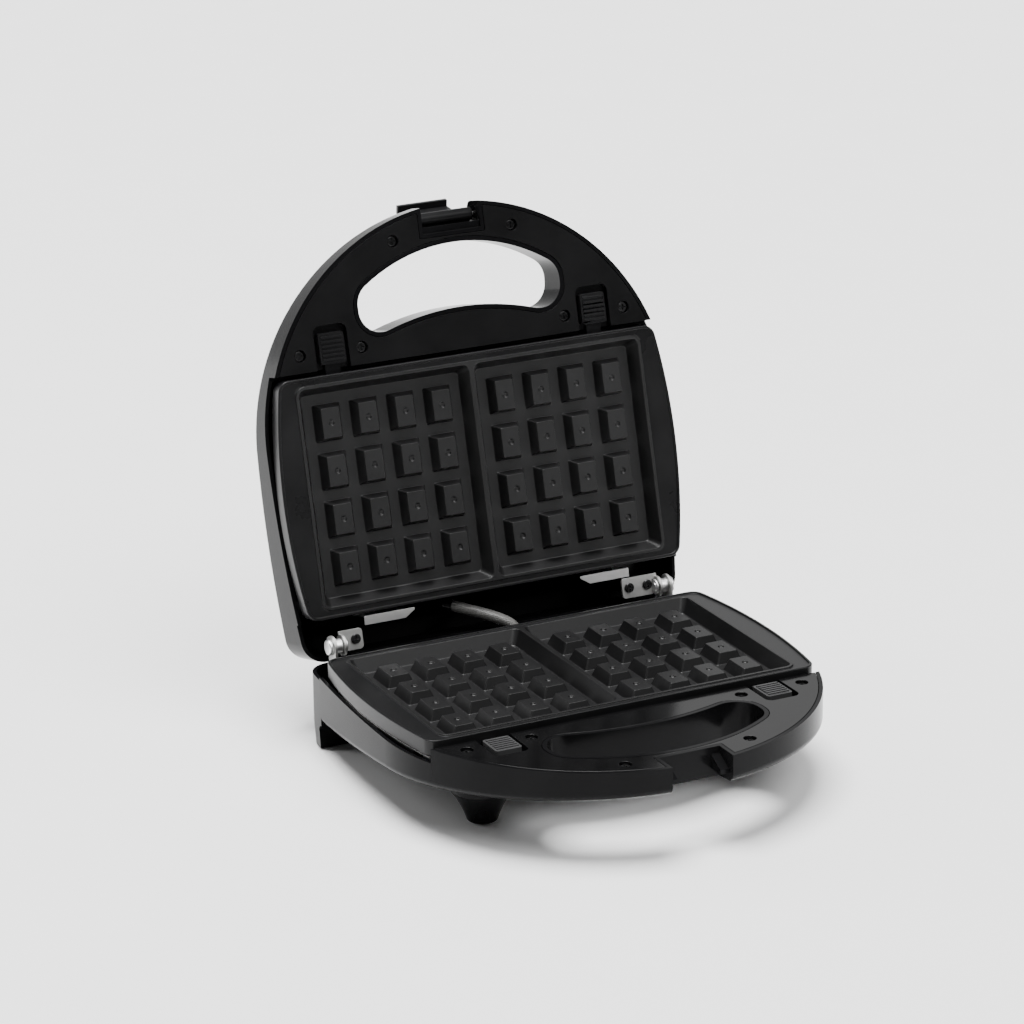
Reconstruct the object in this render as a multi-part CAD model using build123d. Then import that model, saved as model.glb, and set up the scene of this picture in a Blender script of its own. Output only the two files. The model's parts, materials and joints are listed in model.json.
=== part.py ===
from build123d import *
import os
from math import cos, radians, sin, sqrt, tan

# Two-waffle maker, modelled lid open. All sizes in millimetres.
# Each half is drawn in the closed pose with the hinge axis along X through (0, 0, 0):
# the base lies below z = 0, the lid is its mirror image above, and the front is -Y.

# ---- Driving dimensions ----
# waffle plates
PLATE_W = 243.0          # widest, at the middle of the bulged sides
PLATE_D = 132.7          # front to rear
SIDE_BULGE = 6.5         # how far each side bows out
PLATE_SETBACK = 15.3     # hinge axis to the plate's rear edge
PLATE_CORNER_R = 7.0
PLATE_SKIN = 2.3         # cast wall
SKIRT_H = 9.0            # plate rim plane to the skirt's lower edge
BEAD_H = 0.8             # raised sealing beads
BEAD_W = 1.8
RIM_W = 1.44             # raised edge round the plate
HALF_GAP = 0.2           # rim plane of each plate to the parting plane
# waffle cavities
COLUMNS = 4
ROWS = 4
DIVIDER_W = 3.0
CAVITY_SIDE = 16.9       # cavity edge in from the plate's widest point
CAVITY_END = 6.3         # cavity edge in from the plate's front and rear edges
CAVITY_DEPTH = 8.5
CAVITY_DRAFT = 3.8       # run of the sloped cavity walls
CAVITY_R = 4.0
CELL_W = 16.3            # foot of each block, across
CELL_D = 20.6            # foot of each block, along
CELL_TOP_W = 10.8
CELL_TOP_D = 16.6
CELL_H = 6.25
DIMPLE_R = 1.5
DIMPLE_DEPTH = 0.9
# case
CASE_MARGIN = 1.8        # case side beyond the plate's widest point
HANDLE_REACH = 84.2      # plate front to case front
HEEL_REACH = 9.5         # hinge axis to the outside of the rear wall
SIDE_TAPER = 7.8         # how far each side draws in from the arc to the rear
REAR_CORNER_R = 14.0
NOSE_DEPTH = 18.0        # parting plane to the outside, at the front
HEEL_DEPTH = 41.0        # the same, at the rear
EDGE_R = 5.0             # rounded outer edge
WALL = 2.2
HANDLE_DROP = 3.0        # parting plane to the handle's rim
SIDE_DROP = 11.0         # parting plane to the rim beside the plate
PANEL_GAP = 2.5          # plate front to the handle cover
FLOOR_DROP = 55.0        # hinge axis to the table
OPEN_ANGLE = 104.5
REST_CLEAR = 1.2         # degrees left between the rear rims when the lid stands open
# handle cover, finger hole and latch notch
COVER_T = 2.0
SEAM = 0.35
GRIP_W = 22.2            # finger hole to case front
HOLE_W = 124.0
HOLE_REAR_GAP = 26.0     # plate front to the finger hole, on the centre line
HOLE_REAR_R = 150.0
HOLE_END_R = 13.0
HOLE_LIP = 2.4
NOTCH_W = 35.2
NOTCH_D = 15.9           # case front to the notch's back wall
SCREW_FRONT_X = 36.5
SCREW_INNER_X = 62.5
SCREW_OUTER_X = 99.7
SCREW_REAR_GAP = 12.0    # plate front to the rear row of cover screws
# release sliders
SLIDER_X = 80.5
SLIDER_W = 15.2
SLIDER_L = 17.2
SLIDER_TRAVEL = 4.0
POCKET_W = 20.0
POCKET_L = 24.5
TONGUE_W = 9.0
TONGUE_REACH = 3.1       # tongue past the plate's front face
RIBS = 6
# sheet parts and heater
SHEET = 0.8
TRAY_INSET = 1.2
PAN_INSET = 6.5
TRAY_DROP = 10.0         # parting plane to the tray flange
HEATER_GAP = 1.2         # under the cavities, above the heater tube
TUBE_R = 3.1
LOOP_X = 78.0
LOOP_INSET = 36.35       # plate's front and rear edges to the loop's long runs
LOOP_R = 8.0
# hinge
PIN_R = 2.5
PIN_CLEAR = 0.05         # fit of pins, screws and the cable in their holes
EAR_T = 1.5
LID_EAR_X = 97.5         # inner face of each lid ear
BASE_EAR_X = 103.5       # inner face of each base ear
PIN_HEAD_R = 4.5
PIN_HEAD_T = 2.5
EAR_R = 6.2
BRACKET_T = 1.5
BASE_BRACKET_X = (87.0, 96.0)           # screws of each base bracket
LID_TONGUE_X = (84.9, 76.6)             # inner end of the left and right lid brackets
LID_SCREWS_X = ((89.4,), (80.8, 92.4))  # screws of the left and right lid brackets
# latch
LATCH_W = 30.5
LATCH_L = 29.5
LATCH_T = 2.3
BARREL_R = 3.7
BARREL_L = 32.6
LATCH_SET_IN = 8.2       # pivot behind the case front
LATCH_LIFT = 12.4        # pivot above the parting plane
LATCH_HOOK = 3.7
LATCH_SWING = 162.0      # from hooked shut to fully open
LATCH_PIN_R = 1.25
# feet and cable
FOOT_X = 81.0
FOOT_GAP = 10.0          # plate front to each front foot's axis, towards the rear
FOOT_TOP_R = 17.0
FOOT_WAIST_R = 10.8
FOOT_WAIST_UP = 0.42     # height of the waist as a share of the flare
FOOT_LOW_R = 8.0
FOOT_FLARE_H = 18.0
FOOT_EDGE_R = 2.0
PAD_T = 0.8
PAD_L = 18.0             # rubber strip under each rear leg
PAD_W = 10.0
LEG_W = 30.0
LEG_D = 20.0
LEG_TAPER = 4.0
LEG_ARCH_R = 4.0
SLEEVE_R = 3.3
SLEEVE_ROUTE = [(-27.0, 19.5, 5.0), (-15.5, 10.0, 2.5), (-1.0, 4.0, -2.5),
                (9.5, 1.0, -9.0), (12.0, -2.0, -20.0)]
RUN_GAP = 0.3            # running gap between parts that move past each other

# ---- Worked out from the above ----
PLATE_REAR = -PLATE_SETBACK
PLATE_FRONT = PLATE_REAR - PLATE_D
PLATE_MID = (PLATE_REAR + PLATE_FRONT) / 2
CASE_R = PLATE_W / 2 + CASE_MARGIN
CASE_FRONT = PLATE_FRONT - HANDLE_REACH
ARC_Y = CASE_FRONT + CASE_R
COVER_REAR = PLATE_FRONT - PANEL_GAP
CASE_SLOPE = (HEEL_DEPTH - NOSE_DEPTH) / (HEEL_REACH - CASE_FRONT)
HEEL_DROP = HEEL_REACH * tan(radians((OPEN_ANGLE + REST_CLEAR) / 2))
PLATE_TOP = -HALF_GAP
FLANGE_TOP = PLATE_TOP - BEAD_H
PAN_DROP = CAVITY_DEPTH + PLATE_SKIN + HEATER_GAP + 2 * TUBE_R
HOLE_FRONT_R = CASE_R - GRIP_W
HOLE_REAR = PLATE_FRONT - HOLE_REAR_GAP
NOTCH_BACK = CASE_FRONT + NOTCH_D
SCREW_ROW = PLATE_FRONT - SCREW_REAR_GAP
SCREW_FRONT_Y = ARC_Y - sqrt((CASE_R - GRIP_W / 2) ** 2 - SCREW_FRONT_X ** 2)
LATCH_Y = CASE_FRONT + LATCH_SET_IN
FOOT_Y = PLATE_FRONT + FOOT_GAP


def swung(y, z, degrees):
    """Where a point (y, z) goes when it is turned about the X axis."""
    a = radians(degrees)
    return y * cos(a) - z * sin(a), y * sin(a) + z * cos(a)


# The open latch's tip is the rearmost point, so the part is centred between it and the case front.
LATCH_ANGLE = -(OPEN_ANGLE + LATCH_SWING)
pivot_y = swung(LATCH_Y, LATCH_LIFT, -OPEN_ANGLE)[0]
tip_y = swung(-BARREL_R, -LATCH_L, LATCH_ANGLE)[0]
HINGE_Y = -(CASE_FRONT + pivot_y + tip_y) / 2
HINGE_Z = FLOOR_DROP
BASE = Pos(0, HINGE_Y, HINGE_Z)
LID = BASE * Rot(-OPEN_ANGLE, 0, 0)
LATCH = LID * Pos(0, LATCH_Y, LATCH_LIFT) * Rot(-LATCH_SWING, 0, 0)


# ---- Shared shapes ----
def block(x, y, z):
    """A box from its three (low, high) spans."""
    size = [high - low for low, high in (x, y, z)]
    middle = [(high + low) / 2 for low, high in (x, y, z)]
    return Pos(*middle) * Box(*size)


def both(shape):
    """A shape and its mirror image on the other side."""
    return shape + mirror(shape, about=Plane.YZ)


def disc(radius, x, y, low, high):
    """An upright cylinder between two heights."""
    return Pos(x, y, (low + high) / 2) * Cylinder(radius, high - low)


def rod(radius, low, high, y=0.0, z=0.0):
    """A cylinder along X between two places."""
    return Pos((low + high) / 2, y, z) * Rot(0, 90, 0) * Cylinder(radius, high - low)


def slab(face, top, bottom):
    """A plan outline as a prism between two heights."""
    return Pos(0, 0, top) * extrude(face, amount=bottom - top)


def case_outline(inset=0.0):
    """Plan of the case: a half circle in front, sides drawing in, rounded rear corners."""
    rear_x = CASE_R - SIDE_TAPER
    front = ThreePointArc((-CASE_R, ARC_Y), (0, CASE_FRONT), (CASE_R, ARC_Y))
    right = TangentArc((CASE_R, ARC_Y), (rear_x, HEEL_REACH), tangent=(0, 1))
    rear = Line((rear_x, HEEL_REACH), (-rear_x, HEEL_REACH))
    left = TangentArc((-CASE_R, ARC_Y), (-rear_x, HEEL_REACH), tangent=(0, 1))
    plan = make_face([front, right, rear, left])
    plan = fillet(plan.vertices().sort_by(Axis.Y)[-2:], REAR_CORNER_R)
    return offset(plan, -inset) if inset else plan


def plate_outline(inset=0.0):
    """Plan of a plate: straight front and rear, bowed sides, rounded corners."""
    wide = PLATE_W / 2
    end = wide - SIDE_BULGE
    front = Line((-end, PLATE_FRONT), (end, PLATE_FRONT))
    right = ThreePointArc((end, PLATE_FRONT), (wide, PLATE_MID), (end, PLATE_REAR))
    rear = Line((end, PLATE_REAR), (-end, PLATE_REAR))
    left = ThreePointArc((-end, PLATE_REAR), (-wide, PLATE_MID), (-end, PLATE_FRONT))
    plan = make_face([front, right, rear, left])
    plan = fillet(plan.vertices(), PLATE_CORNER_R)
    return offset(plan, -inset) if inset else plan


def plate_side(y):
    """Half width of the plate at a place along its depth."""
    radius = ((PLATE_D / 2) ** 2 + SIDE_BULGE ** 2) / (2 * SIDE_BULGE)
    return PLATE_W / 2 - radius + sqrt(radius ** 2 - (y - PLATE_MID) ** 2)


def hole_outline(grow=0.0):
    """Plan of the finger hole: front edge follows the case arc, rear edge bows forward."""
    half = HOLE_W / 2
    front_y = ARC_Y - sqrt(HOLE_FRONT_R ** 2 - half ** 2)
    rear_centre = HOLE_REAR + HOLE_REAR_R
    rear_y = rear_centre - sqrt(HOLE_REAR_R ** 2 - half ** 2)
    front = ThreePointArc((-half, front_y), (0, ARC_Y - HOLE_FRONT_R), (half, front_y))
    right = Line((half, front_y), (half, rear_y))
    rear = ThreePointArc((half, rear_y), (0, HOLE_REAR), (-half, rear_y))
    left = Line((-half, rear_y), (-half, front_y))
    plan = make_face([front, right, rear, left])
    plan = fillet(plan.vertices(), HOLE_END_R)
    return offset(plan, grow) if grow else plan


def skin_z(y, up=0.0):
    """Height of the case's outer face, or of a face that far inside it."""
    return -(NOSE_DEPTH + CASE_SLOPE * (y - CASE_FRONT)) + up


def below_case(up=0.0):
    """Everything below the case's sloping outer face, raised by a wall."""
    far = HEEL_REACH + 80
    near = CASE_FRONT - 80
    deep = -FLOOR_DROP * 3
    edge = Polyline((near, skin_z(near, up)), (far, skin_z(far, up)), (far, deep), (near, deep), close=True)
    wedge = extrude(Plane.YZ * make_face(edge), amount=PLATE_W)
    return wedge + mirror(wedge, about=Plane.YZ)


FREE_FIT = 0.15          # a screw's hole in the part it holds, beyond the screw's radius
SCREW_R = 1.5
SCREW_HEAD_R = 3.0
SCREW_HEAD_H = 1.7
SCREW_L = 8.0
BRACKET_HEAD_R = 2.8
BRACKET_SCREW_L = 6.5
TRAY_SCREW_R = 1.2
TRAY_HEAD_R = 2.2
TRAY_HEAD_H = 0.9
TRAY_SCREW_L = 6.0
HOLE_SPARE = 0.5         # blind holes run this far past the screw's tip


def cross_screw(x, y, top, head_r, head_h, shank_r, shank_l):
    """A pan-head screw with a cross recess, its head down from a given height."""
    head = disc(head_r, x, y, top - head_h, top)
    head = fillet(head.edges().sort_by(Axis.Z)[-1:], head_h * 0.4)
    shank = disc(shank_r, x, y, top - head_h - shank_l, top - head_h)
    slot = head_r * 0.62
    slot_t = head_r * 0.13
    cross = block((x - slot, x + slot), (y - slot_t, y + slot_t), (top - head_h * 0.6, top + 1))
    cross += block((x - slot_t, x + slot_t), (y - slot, y + slot), (top - head_h * 0.6, top + 1))
    return head + shank - cross


COVER_SCREWS = [(s * SCREW_FRONT_X, SCREW_FRONT_Y) for s in (-1, 1)]
COVER_SCREWS += [(s * SCREW_INNER_X, SCREW_ROW) for s in (-1, 1)]
COVER_SCREWS += [(s * SCREW_OUTER_X, SCREW_ROW) for s in (-1, 1)]
CUP_R = 4.6
CUP_BORE_R = 3.4
CUP_DEPTH = 4.0
CUP_FLOOR = 1.0
CUP_LOW = -HANDLE_DROP - CUP_DEPTH

TRAY_SCREWS_Y = (PLATE_FRONT + 17, PLATE_REAR - 20)
TRAY_SCREW_INSET = (TRAY_INSET + PAN_INSET) / 2
TRAY_SCREWS = [(s * (plate_side(y) - TRAY_SCREW_INSET), y) for s in (-1, 1) for y in TRAY_SCREWS_Y]
TRAY_LOW = -TRAY_DROP - SHEET
POST_R = 4.0
TRAY_POST_R = 2.5
REAR_STEP = 2.0          # plate's rear edge to the rim's second step


# ---- Outer shells ----
def half_shell():
    """One moulded half, hollow, with its finger hole, notch, bulkhead and screw posts."""
    rim = -HANDLE_DROP
    solid = slab(case_outline(), rim, -HEEL_DEPTH - 10) - below_case()
    outer_face = solid.faces().sort_by(Axis.Z)[0]
    solid = fillet(outer_face.edges(), EDGE_R)
    hollow = slab(case_outline(WALL), rim, -HEEL_DEPTH - 10) - below_case(WALL)
    shell = solid - hollow
    # walls round the finger hole and the latch notch
    shell += solid & slab(hole_outline(HOLE_LIP), rim, -HEEL_DEPTH)
    notch_half = NOTCH_W / 2
    shell += solid & block((-notch_half - WALL, notch_half + WALL),
                           (CASE_FRONT - 1, NOTCH_BACK + WALL), (-HEEL_DEPTH, rim))
    # bulkhead between the handle and the heater bay
    wide = CASE_R + 1
    shell += solid & block((-wide, wide), (COVER_REAR, COVER_REAR + WALL), (-HEEL_DEPTH, -SIDE_DROP))
    # screw posts for the cover and the tray
    for x, y in COVER_SCREWS:
        shell += disc(POST_R, x, y, skin_z(y, WALL / 2), CUP_LOW)
        shell -= disc(SCREW_R, x, y, CUP_LOW - SCREW_L - HOLE_SPARE * 2, CUP_LOW)
    for x, y in TRAY_SCREWS:
        shell += disc(TRAY_POST_R, x, y, skin_z(y, WALL / 2), TRAY_LOW)
        shell -= disc(TRAY_SCREW_R, x, y, TRAY_LOW - TRAY_SCREW_L - HOLE_SPARE * 2, TRAY_LOW)
    # the rim steps down beside the plate and again behind it
    shell -= block((-wide, wide), (COVER_REAR, HEEL_REACH + 1), (-SIDE_DROP, 1))
    shell -= block((-wide, wide), (PLATE_REAR + REAR_STEP, HEEL_REACH + 1), (-HEEL_DROP, 1))
    # openings
    shell -= slab(hole_outline(), 1, -HEEL_DEPTH - 1)
    shell -= block((-notch_half, notch_half), (CASE_FRONT - 1, NOTCH_BACK), (-HEEL_DEPTH, 1))
    return shell


CATCH_T = 2.5
CATCH_H = 8.0
CATCH_REACH = 5.0        # each catch from the notch's side
LATCH_GAP = 0.4
BOSS_R = 3.5
BOSS_HOLE = BRACKET_SCREW_L + HOLE_SPARE
BASE_FOOT_TOP = -13.0
GLAND_X = -14.0
GLAND_Z = -29.0
GLAND_R = 5.0
LEG_TOP = -30.0
LEG_SPARE = 8.0          # past the case's side, trimmed off by its outline
PAD_TOP = -FLOOR_DROP + PAD_T
SPIGOT_R = 2.5
SPIGOT_UP = 1.5          # spigot's end above the base's floor


def base_shell():
    """Lower half with its legs, the latch's two catches, bracket bosses and cord opening."""
    shell = half_shell()
    # catches at the notch's sides, which the ends of the latch's hook go under
    catch_low = LATCH_LIFT - LATCH_L + LATCH_T + LATCH_GAP
    catch_front = LATCH_Y - BARREL_R + 1
    catch_rear = NOTCH_BACK + 0.5
    section = Polyline((catch_front, catch_low), (catch_rear, catch_low), (catch_rear, catch_low + CATCH_H),
                       (catch_front, catch_low + CATCH_T), close=True)
    catch = extrude(Plane.YZ * make_face(section), amount=CATCH_REACH + 0.5)
    shell += both(Pos(NOTCH_W / 2 - CATCH_REACH, 0, 0) * catch)
    # rear legs, as downward extensions of the rear corners, arched into the belly in front
    corner_x = CASE_R - SIDE_TAPER
    leg_front = HEEL_REACH - LEG_D
    leg_inner = corner_x - LEG_W
    belly = skin_z(leg_front)
    wide = (leg_inner, corner_x + LEG_SPARE)
    arch_y = leg_front - LEG_ARCH_R
    arch_z = belly - LEG_ARCH_R
    corner = block(wide, (leg_front, HEEL_REACH), (-HEEL_DEPTH, LEG_TOP))
    arch = block(wide, (arch_y, leg_front), (arch_z, LEG_TOP))
    arch -= rod(LEG_ARCH_R, leg_inner - 1, corner_x + LEG_SPARE + 1, arch_y, arch_z)
    leg = slab(case_outline(), LEG_TOP, -FLOOR_DROP) & (corner + arch)
    foot_middle = Pos((wide[0] + wide[1]) / 2, HEEL_REACH - LEG_D / 2)
    foot_plan = case_outline() & foot_middle * Rectangle(wide[1] - wide[0], LEG_D)
    leg += Pos(0, 0, -HEEL_DEPTH) * extrude(foot_plan, amount=PAD_TOP + HEEL_DEPTH, taper=LEG_TAPER)
    hollow = slab(case_outline(WALL), 0, -HEEL_DEPTH - 10) - below_case(WALL)
    shell += both(leg) - hollow
    # bosses for the hinge brackets
    boss = Part()
    boss_top = BASE_FOOT_TOP - BRACKET_T
    for x in BASE_BRACKET_X:
        boss += disc(BOSS_R, x, 0, skin_z(0, WALL / 2), boss_top)
        boss -= disc(SCREW_R, x, 0, boss_top - BOSS_HOLE, boss_top)
    shell += both(boss)
    # holes for the front feet's spigots and for the cord gland
    shell -= both(disc(SPIGOT_R + PIN_CLEAR, FOOT_X, FOOT_Y, skin_z(FOOT_Y) - 2, skin_z(FOOT_Y, WALL) + 2))
    gland_hole = Pos(GLAND_X, HEEL_REACH, GLAND_Z) * Rot(90, 0, 0) * Cylinder(GLAND_R + PIN_CLEAR, WALL * 4)
    return shell - gland_hole


LENS_X = 9.0
LENS_Y = -122.0
LENS_R = 2.6
LENS_STAND = 1.6         # dome past the lid's outside
LENS_DOME_R = 1.2
LENS_BACK = 1.5          # stem past the lid's inside
LENS_FLANGE_W = 1.2
LENS_FLANGE_T = 1.5
LENS_SEAT = 1.1          # flange below the lid's inner face
LID_PLATE_LOW = 1.2
LID_SCREW_Y = -2.0
LID_BOSS_R = 3.0
NOTCH_RIB_Z = (4.4, 6.2)


def lid_shell():
    """Upper half with the latch pivot holes, hinge bosses and lens holes."""
    shell = mirror(half_shell(), about=Plane.XY)
    seat = LID_PLATE_LOW + BRACKET_T
    for side, places in zip((-1, 1), LID_SCREWS_X):
        for x in places:
            boss = disc(LID_BOSS_R, side * x, LID_SCREW_Y, seat, -skin_z(LID_SCREW_Y, WALL / 2))
            shell += boss - disc(SCREW_R, side * x, LID_SCREW_Y, seat, seat + BOSS_HOLE)
    # rib across the notch, clear of the latch as it turns
    rib_front = LATCH_Y + BARREL_R + LATCH_GAP
    shell += block((-NOTCH_W / 2 - 0.5, NOTCH_W / 2 + 0.5), (rib_front, NOTCH_BACK + 0.5), NOTCH_RIB_Z)
    shell -= rod(LATCH_PIN_R, -NOTCH_W / 2 - WALL, NOTCH_W / 2 + WALL, LATCH_Y, LATCH_LIFT)
    shell -= both(disc(LENS_R, LENS_X, LENS_Y, -skin_z(LENS_Y) - WALL * 2, -skin_z(LENS_Y) + WALL))
    return shell


def lens(side):
    """A domed indicator lens seated flush in the lid."""
    outside = -skin_z(LENS_Y)
    inside = outside - WALL
    x = side * LENS_X
    stem = disc(LENS_R, x, LENS_Y, inside - LENS_BACK, outside + LENS_STAND)
    stem = fillet(stem.edges().sort_by(Axis.Z)[-1:], LENS_DOME_R)
    flange_top = inside - LENS_SEAT
    return stem + disc(LENS_R + LENS_FLANGE_W, x, LENS_Y, flange_top - LENS_FLANGE_T, flange_top)


# ---- Handle cover ----
POCKET_T = 1.4
POCKET_CORNER_R = 4.0
SPRING_POST_W = 6.0
SPRING_POST_T = 1.5


def handle_cover():
    """Flat cover over the handle, with slider pockets and countersunk cups."""
    top = -HANDLE_DROP
    front_part = Pos(0, COVER_REAR - CASE_R / 2) * Rectangle(3 * CASE_R, CASE_R)
    plan = case_outline(WALL + SEAM) & front_part
    notch = NOTCH_W + 2 * (WALL + SEAM)
    plan -= Pos(0, NOTCH_BACK + WALL + SEAM - CASE_R / 2) * Rectangle(notch, CASE_R)
    plan -= hole_outline(HOLE_LIP + SEAM)
    cover = slab(plan, top, top - COVER_T)
    # slider pockets, open towards the plate
    floor = POCKET_FLOOR - POCKET_T
    x_low = SLIDER_X - POCKET_W / 2
    x_high = SLIDER_X + POCKET_W / 2
    y_low = COVER_REAR - POCKET_L
    tub = block((x_low - POCKET_T, x_high + POCKET_T), (y_low - POCKET_T, COVER_REAR), (floor, top))
    inside = block((x_low, x_high), (y_low, COVER_REAR + 1), (POCKET_FLOOR, top + 1))
    inside = fillet(inside.edges().filter_by(Axis.Z).sort_by(Axis.Y)[:2], POCKET_CORNER_R)
    neck_low = NECK_FRONT - SLIDER_TRAVEL - RUN_GAP
    neck_slot = block((SLIDER_X - NECK_W / 2 - RUN_GAP, SLIDER_X + NECK_W / 2 + RUN_GAP),
                      (neck_low, NECK_FRONT + NECK_L + RUN_GAP), (floor - 1, top))
    post = block((SLIDER_X - SPRING_POST_W / 2, SLIDER_X + SPRING_POST_W / 2),
                 (SPRING_POST - SPRING_POST_T, SPRING_POST), (SPRING_Z - SPRING_POST_W / 2, top - COVER_T))
    for side_of in (tub, post):
        cover += both(side_of)
    cover -= both(inside)
    cover -= both(neck_slot)
    for x, y in COVER_SCREWS:
        cover += disc(CUP_R, x, y, CUP_LOW, top)
        cover -= disc(CUP_BORE_R, x, y, CUP_LOW + CUP_FLOOR, top + 1)
        cover -= disc(SCREW_R + FREE_FIT, x, y, CUP_LOW - 1, top + 1)
    return cover


def cover_screws():
    """The six cross-head screws of one handle cover."""
    group = Part()
    for x, y in COVER_SCREWS:
        top = CUP_LOW + CUP_FLOOR + SCREW_HEAD_H
        group += cross_screw(x, y, top, SCREW_HEAD_R, SCREW_HEAD_H, SCREW_R - PIN_CLEAR, SCREW_L)
    return group


# ---- Release sliders and their springs ----
POCKET_FLOOR = -7.4
SLIDER_REAR = COVER_REAR - 2.9
SLIDER_FRONT = SLIDER_REAR - SLIDER_L
SLIDER_TOP = -2.5
PAD_CORNER_R = 1.5
RIB_H = 0.7
RIB_W = 1.2
RIB_INSET = 1.2
NECK_W = 5.6
NECK_L = 8.0
NECK_FRONT = SLIDER_FRONT + 4.6
NECK_DEPTH = 2.0
SLIDER_FOOT_W = 12.0
SLIDER_FOOT_T = 1.6
SEAT_W = 6.0
TONGUE_T = 1.9
SPRING_R = 1.6
SPRING_WIRE_R = 0.25
SPRING_COILS = 6
SPRING_Z = POCKET_FLOOR - 4.4
SPRING_POST = COVER_REAR - POCKET_L - 4.0


def slider():
    """One release slider: ribbed thumb pad, locking tongue, neck and foot."""
    low = POCKET_FLOOR + RUN_GAP
    x_low = SLIDER_X - SLIDER_W / 2
    x_high = SLIDER_X + SLIDER_W / 2
    pad = block((x_low, x_high), (SLIDER_FRONT, SLIDER_REAR), (low, SLIDER_TOP))
    pad = fillet(pad.edges().filter_by(Axis.Z), PAD_CORNER_R)
    pitch = SLIDER_L / (RIBS + 1)
    for i in range(RIBS):
        y = SLIDER_FRONT + pitch * (i + 1)
        pad += block((x_low + RIB_INSET, x_high - RIB_INSET), (y - RIB_W / 2, y + RIB_W / 2),
                     (SLIDER_TOP - 0.5, SLIDER_TOP + RIB_H))
    tongue = block((SLIDER_X - TONGUE_W / 2, SLIDER_X + TONGUE_W / 2),
                   (SLIDER_REAR - 1, PLATE_FRONT + TONGUE_REACH), (low, low + TONGUE_T))
    foot_top = POCKET_FLOOR - NECK_DEPTH + RUN_GAP
    neck = block((SLIDER_X - NECK_W / 2, SLIDER_X + NECK_W / 2), (NECK_FRONT, NECK_FRONT + NECK_L),
                 (foot_top - 1, low + 0.5))
    foot = block((SLIDER_X - SLIDER_FOOT_W / 2, SLIDER_X + SLIDER_FOOT_W / 2),
                 (NECK_FRONT - 1, NECK_FRONT + NECK_L + 1), (foot_top - SLIDER_FOOT_T, foot_top))
    seat = block((SLIDER_X - SEAT_W / 2, SLIDER_X + SEAT_W / 2), (NECK_FRONT - 1, NECK_FRONT + 1),
                 (SPRING_Z - SPRING_R * 1.5, foot_top - 1))
    return pad + tongue + neck + foot + seat


def slider_spring():
    """A small coil spring between the cover's post and the slider's foot."""
    length = NECK_FRONT - 1 - SPRING_POST - 2 * SPRING_WIRE_R
    coil = Helix(length / SPRING_COILS, length, SPRING_R)
    start = coil @ 0
    wire = sweep(Plane(origin=start, z_dir=coil % 0) * Circle(SPRING_WIRE_R), path=coil)
    return Pos(SLIDER_X, SPRING_POST + SPRING_WIRE_R, SPRING_Z) * Rot(-90, 0, 0) * wire


# ---- Waffle plate ----
LUG_X = 67.5
LUG_W = 12.0
LUG_T = 1.6
LUG_Z = -6.0
LUG_PAST = 0.5           # lug's end past the tab's web
REST_PAD_L = 10.0
REST_PAD_W = 3.9
WINDOW_GAP = 0.6         # window in the skirt round each slider tongue
TAB_REAR = 3.0           # tab's web behind the plate
TAB_WEB = PLATE_REAR + TAB_REAR


def cavity(grow, down):
    """The space of one waffle cavity, or that space grown by the cast wall."""
    inner = DIVIDER_W / 2
    outer = PLATE_W / 2 - CAVITY_SIDE
    low = PLATE_FRONT + CAVITY_END
    high = PLATE_REAR - CAVITY_END
    middle = Pos((inner + outer) / 2, (low + high) / 2)
    wide = outer - inner + 2 * grow
    deep = high - low + 2 * grow
    top = middle * RectangleRounded(wide, deep, CAVITY_R + grow)
    foot = middle * RectangleRounded(wide - 2 * CAVITY_DRAFT, deep - 2 * CAVITY_DRAFT, CAVITY_R + grow)
    return loft([top, Pos(0, 0, -CAVITY_DEPTH - down) * foot])


def cell_places():
    """Centres of the blocks in the right-hand cavity, spaced by even lanes."""
    left = DIVIDER_W / 2 + CAVITY_DRAFT
    right = PLATE_W / 2 - CAVITY_SIDE - CAVITY_DRAFT
    front = PLATE_FRONT + CAVITY_END + CAVITY_DRAFT
    rear = PLATE_REAR - CAVITY_END - CAVITY_DRAFT
    lane_x = (right - left - COLUMNS * CELL_W) / (COLUMNS + 1)
    lane_y = (rear - front - ROWS * CELL_D) / (ROWS + 1)
    xs = [left + lane_x * (i + 1) + CELL_W * (i + 0.5) for i in range(COLUMNS)]
    ys = [front + lane_y * (j + 1) + CELL_D * (j + 0.5) for j in range(ROWS)]
    return [(x, y) for x in xs for y in ys]


def cell_block():
    """One tapered block with a round dimple in its top."""
    foot = Pos(0, 0, -CAVITY_DEPTH - 0.5) * Rectangle(CELL_W + 0.3, CELL_D + 0.3)
    top = Pos(0, 0, CELL_H - CAVITY_DEPTH) * Rectangle(CELL_TOP_W, CELL_TOP_D)
    dimple = disc(DIMPLE_R, 0, 0, CELL_H - CAVITY_DEPTH - DIMPLE_DEPTH, 0)
    return loft([foot, top]) - dimple


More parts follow.
